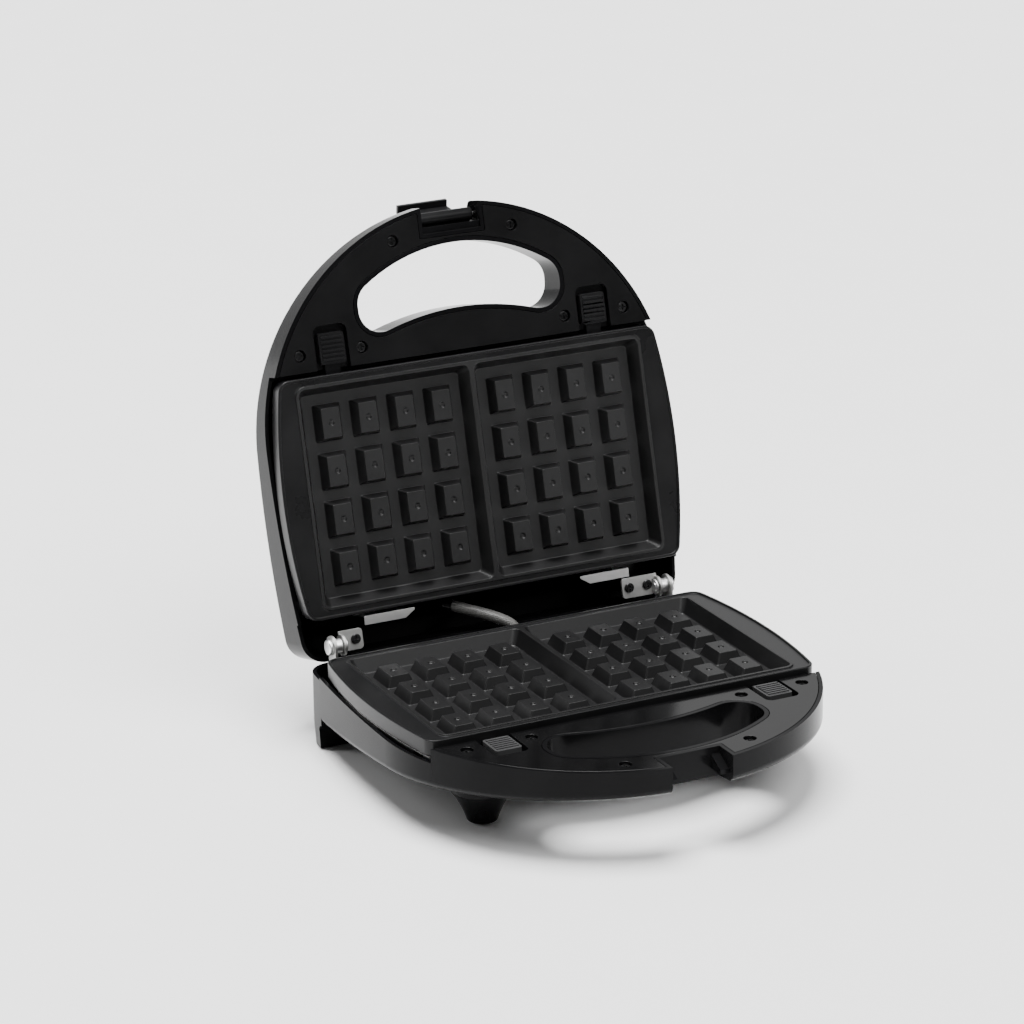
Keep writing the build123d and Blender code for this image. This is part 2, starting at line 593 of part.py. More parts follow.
def waffle_plate():
    """A cast plate: beaded rim, skirt, two drafted cavities and their blocks."""
    plate = slab(plate_outline(), FLANGE_TOP, FLANGE_TOP - PLATE_SKIN)
    plate += slab(plate_outline() - plate_outline(PLATE_SKIN), FLANGE_TOP, -SKIRT_H)
    plate += slab(plate_outline() - plate_outline(RIM_W), PLATE_TOP, FLANGE_TOP)
    inner = DIVIDER_W / 2
    outer = PLATE_W / 2 - CAVITY_SIDE
    wide = 2 * (outer + BEAD_W)
    deep = PLATE_D - 2 * CAVITY_END + 2 * BEAD_W
    bead = Pos(0, PLATE_MID) * RectangleRounded(wide, deep, CAVITY_R + BEAD_W)
    plate += slab(bead, PLATE_TOP, FLANGE_TOP)
    tub = cavity(PLATE_SKIN, PLATE_SKIN)
    plate += both(tub & block((0, wide), (PLATE_FRONT, PLATE_REAR), (-HEEL_DEPTH, FLANGE_TOP)))
    plate -= both(cavity(0, 0))
    cell = cell_block()
    cells = [Pos(s * x, y, 0) * cell for s in (-1, 1) for x, y in cell_places()]
    plate += cells
    # rest pads that stand on the tray flange
    pad_run = PLATE_D * 0.2
    for y in (PLATE_MID - pad_run, PLATE_MID + pad_run):
        side = plate_side(y)
        pad_end = side - TRAY_INSET - 0.4
        pad = block((pad_end - REST_PAD_W, pad_end), (y - REST_PAD_L / 2, y + REST_PAD_L / 2),
                    (-TRAY_DROP, -SKIRT_H + 0.5))
        plate += both(pad)
    # lugs that hook into the tray's rear tabs, and windows for the slider tongues
    lug = block((LUG_X - LUG_W / 2, LUG_X + LUG_W / 2), (PLATE_REAR - PLATE_SKIN / 2, TAB_WEB + LUG_PAST),
                (LUG_Z - LUG_T / 2, LUG_Z + LUG_T / 2))
    plate += both(lug)
    window_half = TONGUE_W / 2 + WINDOW_GAP
    window_low = POCKET_FLOOR + RUN_GAP - WINDOW_GAP
    window = block((SLIDER_X - window_half, SLIDER_X + window_half),
                   (PLATE_FRONT - 1, PLATE_FRONT + PLATE_SKIN + 1),
                   (window_low, window_low + TONGUE_T + 2 * WINDOW_GAP))
    return plate - both(window)


# ---- Tray, heater and electrical parts ----
TAB_INNER_X = 57.5
TAB_OUTER_X = 82.3
TAB_END_X = 51.7         # point of the tab's tapered inner end
TAB_LIP = 4.1
TAB_TIP_W = 1.2
LID_TAB_TOP = -2.0
BASE_TAB_TOP = -4.6      # low enough to stay behind the plate's rear edge
SLOT_SIDE_GAP = 0.6
SLOT_GAP = 0.2
WIRE_HOLE_X = 9.0
WIRE_HOLE_Y = PLATE_REAR - 14.0
WIRE_HOLE_R = 2.0


def tray(tab_top):
    """Pressed steel reflector tray with a flange, a deep pan and two slotted rear tabs."""
    flange_top = -TRAY_DROP
    pan_low = -PAN_DROP - SHEET
    body = slab(plate_outline(TRAY_INSET), flange_top, TRAY_LOW)
    body += slab(plate_outline(PAN_INSET), flange_top, pan_low)
    body -= slab(plate_outline(PAN_INSET + SHEET), flange_top + 1, -PAN_DROP)
    tab = block((TAB_INNER_X, TAB_OUTER_X), (PLATE_REAR - PAN_INSET - 1, TAB_WEB), (pan_low, -PAN_DROP))
    tab += block((TAB_INNER_X, TAB_OUTER_X), (TAB_WEB - SHEET, TAB_WEB), (pan_low, tab_top))
    lip_low = TAB_WEB - SHEET
    lip = Polyline((TAB_END_X, lip_low), (TAB_OUTER_X, lip_low), (TAB_OUTER_X, TAB_WEB + TAB_LIP),
                   (TAB_INNER_X, TAB_WEB + TAB_LIP), (TAB_END_X, lip_low + TAB_TIP_W), close=True)
    tab += slab(make_face(lip), tab_top, tab_top - SHEET)
    slot_half = LUG_W / 2 + SLOT_SIDE_GAP
    slot = block((LUG_X - slot_half, LUG_X + slot_half), (TAB_WEB - SHEET - 1, TAB_WEB + 1),
                 (LUG_Z - LUG_T / 2 - SLOT_GAP, LUG_Z + LUG_T / 2 + SLOT_GAP))
    body += both(tab - slot)
    for x, y in TRAY_SCREWS:
        body -= disc(TRAY_SCREW_R + FREE_FIT, x, y, TRAY_LOW - 1, flange_top + 1)
    return body - both(disc(WIRE_HOLE_R, WIRE_HOLE_X, WIRE_HOLE_Y, pan_low - 1, -PAN_DROP + 1))


def tray_screws():
    """The four screws that hold a tray to its shell."""
    group = Part()
    for x, y in TRAY_SCREWS:
        group += cross_screw(x, y, TRAY_HEAD_H - TRAY_DROP, TRAY_HEAD_R, TRAY_HEAD_H,
                             TRAY_SCREW_R - PIN_CLEAR, TRAY_SCREW_L)
    return group


TUBE_Z = -PAN_DROP + TUBE_R
LEAD_X = 12.0
LOOP_REAR = PLATE_REAR - LOOP_INSET
LOOP_FRONT = PLATE_FRONT + LOOP_INSET
LEAD_END = PLATE_REAR - 20.0


def heating_element():
    """One tubular element: a wide loop under both cavities with two leads to the rear."""
    route = [(-LEAD_X, LEAD_END), (-LEAD_X, LOOP_REAR), (-LOOP_X, LOOP_REAR), (-LOOP_X, LOOP_FRONT)]
    route += [(-x, y) for x, y in reversed(route)]
    points = [(x, y, TUBE_Z) for x, y in route]
    path = FilletPolyline(*points, radius=LOOP_R)
    start = Plane(origin=points[0], z_dir=(0, -1, 0))
    return sweep(start * Circle(TUBE_R), path=path)


CLIP_W = 8.0
CLIP_T = 0.8
CLIP_EAR = 5.0
CLIPS = [(s * LOOP_X, PLATE_MID, 0) for s in (-1, 1)] + [(s * LOOP_X / 2, LOOP_FRONT, 90) for s in (-1, 1)]


def element_clips():
    """Four saddle clips that hold the element down on the tray's floor."""
    reach = TUBE_R + CLIP_T
    ears = reach + CLIP_EAR
    saddle = Rot(90, 0, 0) * Cylinder(reach, CLIP_W)
    saddle += block((-reach, reach), (-CLIP_W / 2, CLIP_W / 2), (-TUBE_R, 0))
    saddle += block((-ears, ears), (-CLIP_W / 2, CLIP_W / 2), (-TUBE_R, -TUBE_R + CLIP_T))
    saddle -= block((-ears - 1, ears + 1), (-CLIP_W, CLIP_W), (-reach - 1, -TUBE_R))
    saddle -= Rot(90, 0, 0) * Cylinder(TUBE_R, CLIP_W * 2)
    saddle -= block((-TUBE_R, TUBE_R), (-CLIP_W, CLIP_W), (-TUBE_R - 1, 0))
    group = Part()
    for x, y, turn in CLIPS:
        group += Pos(x, y, TUBE_Z) * Rot(0, 0, turn) * saddle
    return group


TERMINAL_SIDE = 6.0      # ceramic past each lead
TERMINAL_D = 8.0
TERMINAL_UP = 2.2
TERMINAL_R = 1.5


def terminal_block():
    """Ceramic block on the tray that takes both ends of the element."""
    half = LEAD_X + TERMINAL_SIDE
    body = block((-half, half), (LEAD_END, LEAD_END + TERMINAL_D), (-PAN_DROP, TUBE_Z + TERMINAL_UP))
    return fillet(body.edges().filter_by(Axis.Z), TERMINAL_R)


UNDER_PAN = -PAN_DROP - SHEET
STAT_R = 8.0
STAT_H = 7.0
STAT_FLANGE_T = 1.5
BLADE_X = (3.5, 8.5)
BLADE_T = 0.8
BLADE_L = 3.0            # each blade, of which a third stands below the body


def thermostat():
    """Round snap-action thermostat screwed flat under the tray, with two blades."""
    body = disc(STAT_R, 0, PLATE_MID, UNDER_PAN - STAT_H, UNDER_PAN)
    body += disc(STAT_R + 1, 0, PLATE_MID, UNDER_PAN - STAT_FLANGE_T, UNDER_PAN)
    blade_top = UNDER_PAN - STAT_H + 1
    blade = block(BLADE_X, (PLATE_MID - BLADE_T / 2, PLATE_MID + BLADE_T / 2),
                  (blade_top - BLADE_L, blade_top))
    return body + both(blade)


FUSE_Y = PLATE_MID + 16.0
FUSE_R = 2.2
FUSE_L = 18.0
FUSE_LEAD_R = 0.6
FUSE_LEADS = 32.0
SADDLE_W = 6.0
SADDLE_HALF = 3.2


def thermal_fuse():
    """Thermal fuse under the tray in its saddle."""
    middle = UNDER_PAN - SADDLE_HALF
    body = rod(FUSE_R, -FUSE_L / 2, FUSE_L / 2, FUSE_Y, middle)
    body += rod(FUSE_LEAD_R, -FUSE_LEADS / 2, FUSE_LEADS / 2, FUSE_Y, middle)
    saddle = block((-SADDLE_W / 2, SADDLE_W / 2), (FUSE_Y - SADDLE_HALF, FUSE_Y + SADDLE_HALF),
                   (middle, UNDER_PAN))
    return body + saddle


WIRING_X = (18.0, 44.0)
WIRING_REAR = PLATE_REAR - 8.0
WIRING_D = 12.0
WIRING_H = 10.0
WIRING_PITCH = 8.0
WIRING_HOLE_R = 1.8
WIRING_HOLE_D = 4.0


def wiring_block():
    """Screw terminal block on the base's floor, where the supply meets the heaters."""
    top = skin_z(WIRING_REAR, WALL) + WIRING_H
    body = block(WIRING_X, (WIRING_REAR - WIRING_D, WIRING_REAR), (-HEEL_DEPTH, top))
    body -= below_case(WALL)
    middle = sum(WIRING_X) / 2
    for i in (-1, 0, 1):
        x = middle + WIRING_PITCH * i
        body -= disc(WIRING_HOLE_R, x, WIRING_REAR - WIRING_D / 2, top - WIRING_HOLE_D, top + 1)
    return body


GLAND_FLANGE_W = 2.0
GLAND_FLANGE_T = 2.5
CORD_R = 3.0


def cord_gland():
    """Moulded gland in the rear wall for the supply cord."""
    def ring(radius, low, high):
        return Pos(GLAND_X, (low + high) / 2, GLAND_Z) * Rot(90, 0, 0) * Cylinder(radius, high - low)
    inner = HEEL_REACH - WALL
    body = ring(GLAND_R, inner - GLAND_FLANGE_T, HEEL_REACH + GLAND_FLANGE_T)
    body += ring(GLAND_R + GLAND_FLANGE_W, HEEL_REACH, HEEL_REACH + GLAND_FLANGE_T)
    body += ring(GLAND_R + GLAND_FLANGE_W, inner - GLAND_FLANGE_T, inner)
    return body - ring(CORD_R, inner - GLAND_FLANGE_T - 1, HEEL_REACH + GLAND_FLANGE_T + 1)


# ---- Hinge ----
BASE_FOOT_INNER_X = 83.0
BASE_FOOT_REAR = 4.0
LID_TONGUE_Y = (-7.5, 4.0)
LID_TONGUE_R = 2.0
LID_HEAD_H = 1.5
CLIP_R = 4.2
CLIP_RING_T = 0.9
CLIP_AWAY = 1.7          # pin's inner end past the inner face of the lid ear
SPACER_R = 4.0
PIN_DOME_R = 1.2


def base_bracket():
    """Base hinge bracket: an upright ear round the pin on a screwed foot."""
    outer = BASE_EAR_X + EAR_T
    low = BASE_FOOT_TOP - BRACKET_T
    ear = rod(EAR_R, BASE_EAR_X, outer)
    ear += block((BASE_EAR_X, outer), (-EAR_R, BASE_FOOT_REAR - 1), (low, 0))
    foot = block((BASE_FOOT_INNER_X, outer), (-EAR_R, BASE_FOOT_REAR), (low, BASE_FOOT_TOP))
    bracket = ear + foot - rod(PIN_R + PIN_CLEAR / 2, BASE_EAR_X - 1, outer + 1)
    for x in BASE_BRACKET_X:
        bracket -= disc(SCREW_R + FREE_FIT, x, 0, low - 1, BASE_FOOT_TOP + 1)
    return bracket


def base_bracket_screws():
    """Two screws in each base bracket."""
    group = Part()
    for x in BASE_BRACKET_X:
        group += cross_screw(x, 0, BASE_FOOT_TOP + SCREW_HEAD_H, BRACKET_HEAD_R, SCREW_HEAD_H,
                             SCREW_R - PIN_CLEAR, BRACKET_SCREW_L)
    return both(group)


def lid_bracket(inner_x, screws_x):
    """Lid hinge bracket: a flat tongue at rim level folded down into an ear round the pin."""
    top = LID_PLATE_LOW + BRACKET_T
    outer = LID_EAR_X + EAR_T
    flat = block((inner_x, outer), LID_TONGUE_Y, (LID_PLATE_LOW, top))
    flat = fillet(flat.edges().filter_by(Axis.Z).sort_by(Axis.X)[:2], LID_TONGUE_R)
    ear = rod(EAR_R - 0.2, LID_EAR_X, outer)
    bracket = flat + ear - rod(PIN_R + PIN_CLEAR, LID_EAR_X - CLIP_AWAY - RUN_GAP, outer + 1)
    relief_y = CLIP_R + RUN_GAP
    bracket -= block((LID_EAR_X - CLIP_AWAY, LID_EAR_X), (-relief_y, relief_y), (-EAR_R, top + 1))
    for x in screws_x:
        bracket -= disc(SCREW_R + FREE_FIT, x, LID_SCREW_Y, LID_PLATE_LOW - 1, top + 1)
    return bracket


def lid_bracket_screws():
    """The screws of both lid brackets, heads towards the base."""
    group = Part()
    for side, places in zip((-1, 1), LID_SCREWS_X):
        for x in places:
            screw = cross_screw(side * x, LID_SCREW_Y, LID_HEAD_H - LID_PLATE_LOW, BRACKET_HEAD_R, LID_HEAD_H,
                                SCREW_R - PIN_CLEAR, BRACKET_SCREW_L)
            group += mirror(screw, about=Plane.XY)
    return group


def hinge_pin():
    """Round-headed hinge pin, pressed in the base ear and running in the lid ear."""
    head_x = BASE_EAR_X + EAR_T
    head = rod(PIN_HEAD_R, head_x, head_x + PIN_HEAD_T)
    head = fillet(head.edges().sort_by(Axis.X)[-1:], PIN_DOME_R)
    return head + rod(PIN_R, LID_EAR_X - CLIP_AWAY, head_x)


def hinge_ring(low, high, radius):
    """A plain ring on the hinge pin."""
    return rod(radius, low, high) - rod(PIN_R, low - 1, high + 1)


# ---- Latch ----
LATCH_UP = 3.5           # front plate above the pivot
LATCH_CORNER_R = 1.5
WEB_Z = (-2.0, 2.22)     # web between the barrel and the front plate


def latch_clip():
    """Latch about its pivot in the shut position: barrel, front plate and hook."""
    half = LATCH_W / 2
    barrel = rod(BARREL_R, -BARREL_L / 2, BARREL_L / 2)
    inside = -BARREL_R - LATCH_T / 2
    plate = block((-half, half), (-BARREL_R - LATCH_T, -BARREL_R), (-LATCH_L, LATCH_UP))
    plate = fillet(plate.edges().filter_by(Axis.Y), LATCH_CORNER_R)
    web = block((-half, half), (inside, 0), WEB_Z)
    hook = block((-half, half), (inside, LATCH_HOOK - BARREL_R), (-LATCH_L, LATCH_T - LATCH_L))
    return barrel + plate + web + hook - rod(LATCH_PIN_R + PIN_CLEAR, -BARREL_L, BARREL_L)


def latch_pin():
    """Steel pin across the lid's notch."""
    half = NOTCH_W / 2 + WALL
    return rod(LATCH_PIN_R, -half, half, LATCH_Y, LATCH_LIFT)


# ---- Feet ----
def front_foot():
    """Flared stub foot with a spigot through the base's floor."""
    top = skin_z(FOOT_Y) + SIDE_DROP / 2
    flare_top = PAD_TOP + FOOT_FLARE_H
    waist = PAD_TOP + FOOT_FLARE_H * FOOT_WAIST_UP
    side = ThreePointArc((FOOT_LOW_R, PAD_TOP), (FOOT_WAIST_R, waist), (FOOT_TOP_R, flare_top))
    edge = Polyline((FOOT_TOP_R, flare_top), (FOOT_TOP_R, top), (0, top), (0, PAD_TOP), (FOOT_LOW_R, PAD_TOP))
    stub = revolve(Plane.XZ * make_face([side, edge]), Axis.Z)
    stub = fillet(stub.edges().sort_by(Axis.Z)[0], FOOT_EDGE_R)
    stub = Pos(FOOT_X, FOOT_Y, 0) * stub & below_case()
    return stub + disc(SPIGOT_R, FOOT_X, FOOT_Y, skin_z(FOOT_Y) - 3, skin_z(FOOT_Y, WALL) + SPIGOT_UP)


def foot_pads():
    """Thin rubber pads: two round under the stubs, two long under the rear legs."""
    front = disc(FOOT_LOW_R - FOOT_EDGE_R - 0.5, FOOT_X, FOOT_Y, -FLOOR_DROP, PAD_TOP)
    leg_x = CASE_R - SIDE_TAPER - LEG_W / 2
    leg_y = HEEL_REACH - LEG_D / 2
    rear = block((leg_x - PAD_L / 2, leg_x + PAD_L / 2), (leg_y - PAD_W / 2, leg_y + PAD_W / 2),
                 (-FLOOR_DROP, PAD_TOP))
    return both(front) + both(rear)


# ---- Cable between the halves ----
# The sleeve's route is given with the lid open, from inside the lid down into the base.
ROUTE = [Vector(*point) for point in SLEEVE_ROUTE]
BEND_SHARE = 0.45        # share of each straight run taken up by the bend at its end


def cable_sleeve():
    """Braided glass sleeve round the lid heater's wires, as one bent tube."""
    radii = []
    for before, here, after in zip(ROUTE, ROUTE[1:], ROUTE[2:]):
        turn = (here - before).get_angle(after - here)
        run = min((here - before).length, (after - here).length)
        radii.append(BEND_SHARE * run / tan(radians(turn) / 2))
    path = FilletPolyline(*ROUTE, radius=radii)
    start = Plane(origin=path @ 0, z_dir=path % 0)
    print("cable sleeve: length", round(path.length, 1), "radii", [round(r, 1) for r in radii])
    return sweep(start * Circle(SLEEVE_R), path=path)


CLAMP_L = 5.0
CLAMP_WALL = 2.0
CLAMP_POST_R = 4.5
CLAMP_POST_DOWN = 1.6    # post's top below the sleeve's end


def cable_clamp(end, along):
    """A ring that grips one end of the sleeve, on a post from the shell's inner face."""
    along = along.normalized()
    seat = Plane(origin=end - along * (CLAMP_L / 2), z_dir=along)
    post = disc(CLAMP_POST_R, end.X, end.Y, skin_z(end.Y) - 2, end.Z - CLAMP_POST_DOWN) - below_case(WALL)
    ring = seat * Cylinder(SLEEVE_R + CLAMP_WALL, CLAMP_L)
    return ring + post - seat * Cylinder(SLEEVE_R + PIN_CLEAR, CLAMP_L)


def in_lid(point):
    """A point or direction given with the lid open, seen from the lid's mirrored half."""
    y, z = swung(point.Y, point.Z, OPEN_ANGLE)
    return Vector(point.X, y, -z)


def save(name, shape, place=BASE):
    """Write one sub-part in its place as parts/NAME.step."""
    export_step(place * shape, f"parts/{name}.step")


def main():
    """Build every sub-part once, place it and write it."""
    os.makedirs("parts", exist_ok=True)
    right = Plane.YZ
    cover, screws, plate = handle_cover(), cover_screws(), waffle_plate()
    pan_screws, heater, clips, ends = tray_screws(), heating_element(), element_clips(), terminal_block()
    halves = {"handle_cover": cover, "cover_screws": screws, "plate": plate,
              "tray_screws": pan_screws, "heating_element": heater, "element_clips": clips,
              "terminal_block": ends}
    for name, shape in halves.items():
        save("base_" + name, shape)
        save("lid_" + name, mirror(shape, about=Plane.XY), LID)
    pairs = {"slider": slider(), "slider_spring": slider_spring()}
    for name, shape in pairs.items():
        for side, one in (("right", shape), ("left", mirror(shape, about=right))):
            save(f"base_{name}_{side}", one)
            save(f"lid_{name}_{side}", mirror(one, about=Plane.XY), LID)
    save("base_tray", tray(BASE_TAB_TOP))
    save("lid_tray", mirror(tray(LID_TAB_TOP), about=Plane.XY), LID)
    save("base_shell", base_shell())
    save("lid_shell", lid_shell(), LID)
    save("lid_power_lens", lens(-1), LID)
    save("lid_ready_lens", lens(1), LID)
    lid_left, lid_right = (lid_bracket(inner, places) for inner, places in zip(LID_TONGUE_X, LID_SCREWS_X))
    save("lid_hinge_bracket_left", mirror(lid_left, about=right), LID)
    save("lid_hinge_bracket_right", lid_right, LID)
    hinge = {"base_hinge_bracket": (base_bracket(), BASE),
             "hinge_pin": (hinge_pin(), BASE), "front_foot": (front_foot(), BASE)}
    for name, (shape, place) in hinge.items():
        save(name + "_right", shape, place)
        save(name + "_left", mirror(shape, about=right), place)
    spacer = hinge_ring(LID_EAR_X + EAR_T + RUN_GAP, BASE_EAR_X, SPACER_R)
    clip = hinge_ring(LID_EAR_X - RUN_GAP - CLIP_RING_T, LID_EAR_X - RUN_GAP, CLIP_R)
    save("hinge_spacers", both(spacer))
    save("hinge_clips", both(clip))
    save("base_bracket_screws", base_bracket_screws())
    save("lid_bracket_screws", lid_bracket_screws(), LID)
    save("latch_clip", latch_clip(), LATCH)
    save("latch_pin", latch_pin(), LID)
    save("foot_pads", foot_pads())
    save("thermostat", thermostat())
    save("thermal_fuse", thermal_fuse())
    save("wiring_block", wiring_block())
    save("cord_gland", cord_gland())
    save("cable_sleeve", cable_sleeve())
    high_clamp = cable_clamp(in_lid(ROUTE[0]), in_lid(ROUTE[0] - ROUTE[1]))
    save("base_cable_clamp", cable_clamp(ROUTE[-1], ROUTE[-1] - ROUTE[-2]))
    save("lid_cable_clamp", mirror(high_clamp, about=Plane.XY), LID)


main()
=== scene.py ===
import json
import math
import bmesh
import bpy
from mathutils import Matrix, Vector


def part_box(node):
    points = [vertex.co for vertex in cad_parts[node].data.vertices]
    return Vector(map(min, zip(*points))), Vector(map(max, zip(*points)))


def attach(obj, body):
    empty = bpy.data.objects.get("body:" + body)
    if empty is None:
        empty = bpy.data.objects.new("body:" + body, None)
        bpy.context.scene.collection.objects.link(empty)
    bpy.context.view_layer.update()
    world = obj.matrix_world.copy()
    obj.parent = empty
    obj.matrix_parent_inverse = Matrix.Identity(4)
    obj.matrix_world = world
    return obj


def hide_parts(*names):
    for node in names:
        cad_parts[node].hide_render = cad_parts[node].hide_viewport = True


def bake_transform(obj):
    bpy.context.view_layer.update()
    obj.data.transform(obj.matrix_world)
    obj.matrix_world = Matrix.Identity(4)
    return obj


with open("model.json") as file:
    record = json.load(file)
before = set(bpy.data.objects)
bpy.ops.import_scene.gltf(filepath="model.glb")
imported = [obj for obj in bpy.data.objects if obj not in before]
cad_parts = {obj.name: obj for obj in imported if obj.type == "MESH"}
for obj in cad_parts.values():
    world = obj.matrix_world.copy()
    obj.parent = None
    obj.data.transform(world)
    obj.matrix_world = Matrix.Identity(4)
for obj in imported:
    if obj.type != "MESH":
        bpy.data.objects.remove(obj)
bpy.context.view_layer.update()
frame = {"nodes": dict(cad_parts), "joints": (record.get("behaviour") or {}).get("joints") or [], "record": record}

# ---- Case shells ----
# Base and lid are two deep half shells, injection moulded in gloss black heat-proof plastic.
# The lid is the base's twin turned over; both keep a high polish with faint flow ripple and wiping marks.
MM = 0.001
WELD = 0.01 * MM         # points nearer than this are one point
FLAT = math.radians(0.6)  # faces that turn less than this are one face
BODY_OF = {node: body for body, nodes in frame["record"]["behaviour"]["bodies"].items() for node in nodes}


def finish_piece(piece, node, material):
    """Put a finished piece in the scene in place of its frame node."""
    piece.data.materials.clear()
    piece.data.materials.append(material)
    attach(piece, BODY_OF[node])
    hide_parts(node)
    return piece


def eased(node, material, radius, segments=3, crease=32):
    """The part's own form with every hard edge eased to a small radius, as moulding or tumbling leaves it."""
    form = bmesh.new()
    form.from_mesh(frame["nodes"][node].data)
    bmesh.ops.remove_doubles(form, verts=form.verts, dist=WELD)
    bmesh.ops.dissolve_limit(form, angle_limit=FLAT, verts=form.verts, edges=form.edges)
    mesh = bpy.data.meshes.new(node + "_form")
    form.to_mesh(mesh)
    form.free()
    for face in mesh.polygons:
        face.use_smooth = True
    piece = bpy.data.objects.new(node + "_finished", mesh)
    bpy.context.scene.collection.objects.link(piece)
    edge = piece.modifiers.new("eased edges", "BEVEL")
    edge.width = radius * MM
    edge.segments = segments
    edge.limit_method = "ANGLE"
    edge.angle_limit = math.radians(crease)
    edge.miter_outer = "MITER_ARC"
    normals = piece.modifiers.new("even shading", "WEIGHTED_NORMAL")
    normals.keep_sharp = True
    return finish_piece(piece, node, material)


def new_material(name):
    """A plain node material, its nodes, its links and its main shader."""
    material = bpy.data.materials.new(name)
    material.use_nodes = True
    tree = material.node_tree
    return material, tree.nodes, tree.links, tree.nodes["Principled BSDF"]


def noise(nodes, links, scale, detail=4.0, rough=0.5, stretch=None):
    """A noise pattern in the part's own space; scale is patches per metre."""
    place = nodes.new("ShaderNodeTexCoord")
    mapping = nodes.new("ShaderNodeMapping")
    if stretch:
        mapping.inputs["Scale"].default_value = stretch
    pattern = nodes.new("ShaderNodeTexNoise")
    pattern.inputs["Scale"].default_value = scale
    pattern.inputs["Detail"].default_value = detail
    pattern.inputs["Roughness"].default_value = rough
    links.new(place.outputs["Object"], mapping.inputs["Vector"])
    links.new(mapping.outputs["Vector"], pattern.inputs["Vector"])
    return pattern


def ramp(nodes, links, source, low, high, a, b):
    """Two colours blended over a span of a pattern."""
    blend = nodes.new("ShaderNodeValToRGB")
    blend.color_ramp.elements[0].position = low
    blend.color_ramp.elements[0].color = (*a, 1)
    blend.color_ramp.elements[1].position = high
    blend.color_ramp.elements[1].color = (*b, 1)
    links.new(source, blend.inputs["Fac"])
    return blend.outputs["Color"]


def spread(nodes, links, source, low, high):
    """A pattern stretched to a span of values, for roughness."""
    scale = nodes.new("ShaderNodeMapRange")
    scale.inputs["To Min"].default_value = low
    scale.inputs["To Max"].default_value = high
    links.new(source, scale.inputs["Value"])
    return scale.outputs["Result"]


def relief(nodes, links, source, depth, strength, shader, under=None):
    """Surface relief from a pattern; depth in metres."""
    bump = nodes.new("ShaderNodeBump")
    bump.inputs["Distance"].default_value = depth
    bump.inputs["Strength"].default_value = strength
    links.new(source, bump.inputs["Height"])
    if under:
        links.new(under, bump.inputs["Normal"])
    links.new(bump.outputs["Normal"], shader.inputs["Normal"])
    return bump.outputs["Normal"]


def polished_plastic(name, dark, light, rough_low, rough_high):
    """Gloss black moulding: slow tone drift, upright wiping marks in the gloss and a faint ripple."""
    material, nodes, links, shader = new_material(name)
    drift = noise(nodes, links, scale=22, detail=3)
    links.new(ramp(nodes, links, drift.outputs["Fac"], 0.35, 0.7, dark, light), shader.inputs["Base Color"])
    smear = noise(nodes, links, scale=60, detail=6, rough=0.65, stretch=(1, 1, 2.5))
    links.new(spread(nodes, links, smear.outputs["Fac"], rough_low, rough_high), shader.inputs["Roughness"])
    ripple = noise(nodes, links, scale=130, detail=2)
    relief(nodes, links, ripple.outputs["Fac"], depth=0.00006, strength=0.35, shader=shader)
    shader.inputs["Specular IOR Level"].default_value = 0.065
    return material


shell_black = polished_plastic("gloss_black_shell", (0.0035, 0.0035, 0.0038), (0.006, 0.006, 0.0064),
                               rough_low=0.12, rough_high=0.24)
for shell in ("base_shell", "lid_shell"):
    eased(shell, shell_black, radius=0.7)

# ---- Handle covers ----
# A flat moulded cover is screwed over each handle; it carries the slider pockets and the screw cups.
# Black plastic with a fine spark-eroded grain: satin on the lid, shinier on the base.


def grained_plastic(name, dark, light, rough_low, rough_high, grain, gloss):
    """Satin moulding with spark-eroded grain."""
    material, nodes, links, shader = new_material(name)
    tone = noise(nodes, links, scale=35, detail=4)
    links.new(ramp(nodes, links, tone.outputs["Fac"], 0.3, 0.72, dark, light), shader.inputs["Base Color"])
    links.new(spread(nodes, links, tone.outputs["Fac"], rough_low, rough_high), shader.inputs["Roughness"])
    fine = noise(nodes, links, scale=2600, detail=2, rough=0.6)
    relief(nodes, links, fine.outputs["Fac"], depth=0.00004, strength=grain, shader=shader)
    shader.inputs["Specular IOR Level"].default_value = gloss
    return material


lid_cover_black = grained_plastic("satin_black_lid_cover", (0.0032, 0.0032, 0.0034), (0.0052, 0.0052, 0.0055),
                                  rough_low=0.3, rough_high=0.42, grain=0.5, gloss=0.1)
base_cover_black = grained_plastic("satin_black_base_cover", (0.0024, 0.0024, 0.0026), (0.004, 0.004, 0.0042),
                                   rough_low=0.1, rough_high=0.17, grain=0.15, gloss=0.25)
eased("lid_handle_cover", lid_cover_black, radius=0.4)
eased("base_handle_cover", base_cover_black, radius=0.4)

# ---- Waffle plates ----
# Each plate is cast aluminium under a charcoal non-stick coat, with two cavities of sixteen tapered blocks.
# Sprayed coating rounds every edge and leaves a fine pebble; each block keeps its round casting dimple.
# Rear lugs hook it in the tray's tabs, the sliders' tongues enter its front windows, and four pads carry it.
hinge_joint = next(joint for joint in frame["joints"] if joint["name"] == "lid_hinge")
HINGE = Vector(hinge_joint["pos_m"])
OPEN = math.radians(hinge_joint["range_deg"][1])
IN_BASE = Matrix.Translation(HINGE) @ Matrix.Scale(MM, 4)
IN_LID = Matrix.Translation(HINGE) @ Matrix.Rotation(-OPEN, 4, "X") @ Matrix.Diagonal((MM, MM, -MM, 1))
plate_low, plate_high = [IN_BASE.inverted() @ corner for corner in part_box("base_plate")]
LUG_PAST, LUG_X, LUG_W, LUG_T, LUG_Z = 3.5, 67.5, 12.0, 1.6, -6.0
LUG_R, LUG_EASE = 0.5, 0.2
WINDOW_X, WINDOW_W, WINDOW_LOW, WINDOW_HIGH = 80.5, 10.2, -7.7, -4.6
WINDOW_R, WINDOW_EASE = 0.4, 0.1
PAD_RUN, PAD_W, PAD_L, PAD_LOW = 26.54, 3.9, 10.0, -10.0
PAD_INSET, PAD_RISE, PAD_R, PAD_EASE = 1.6, 0.8, 0.8, 0.25
PLATE_HALF = plate_high.x
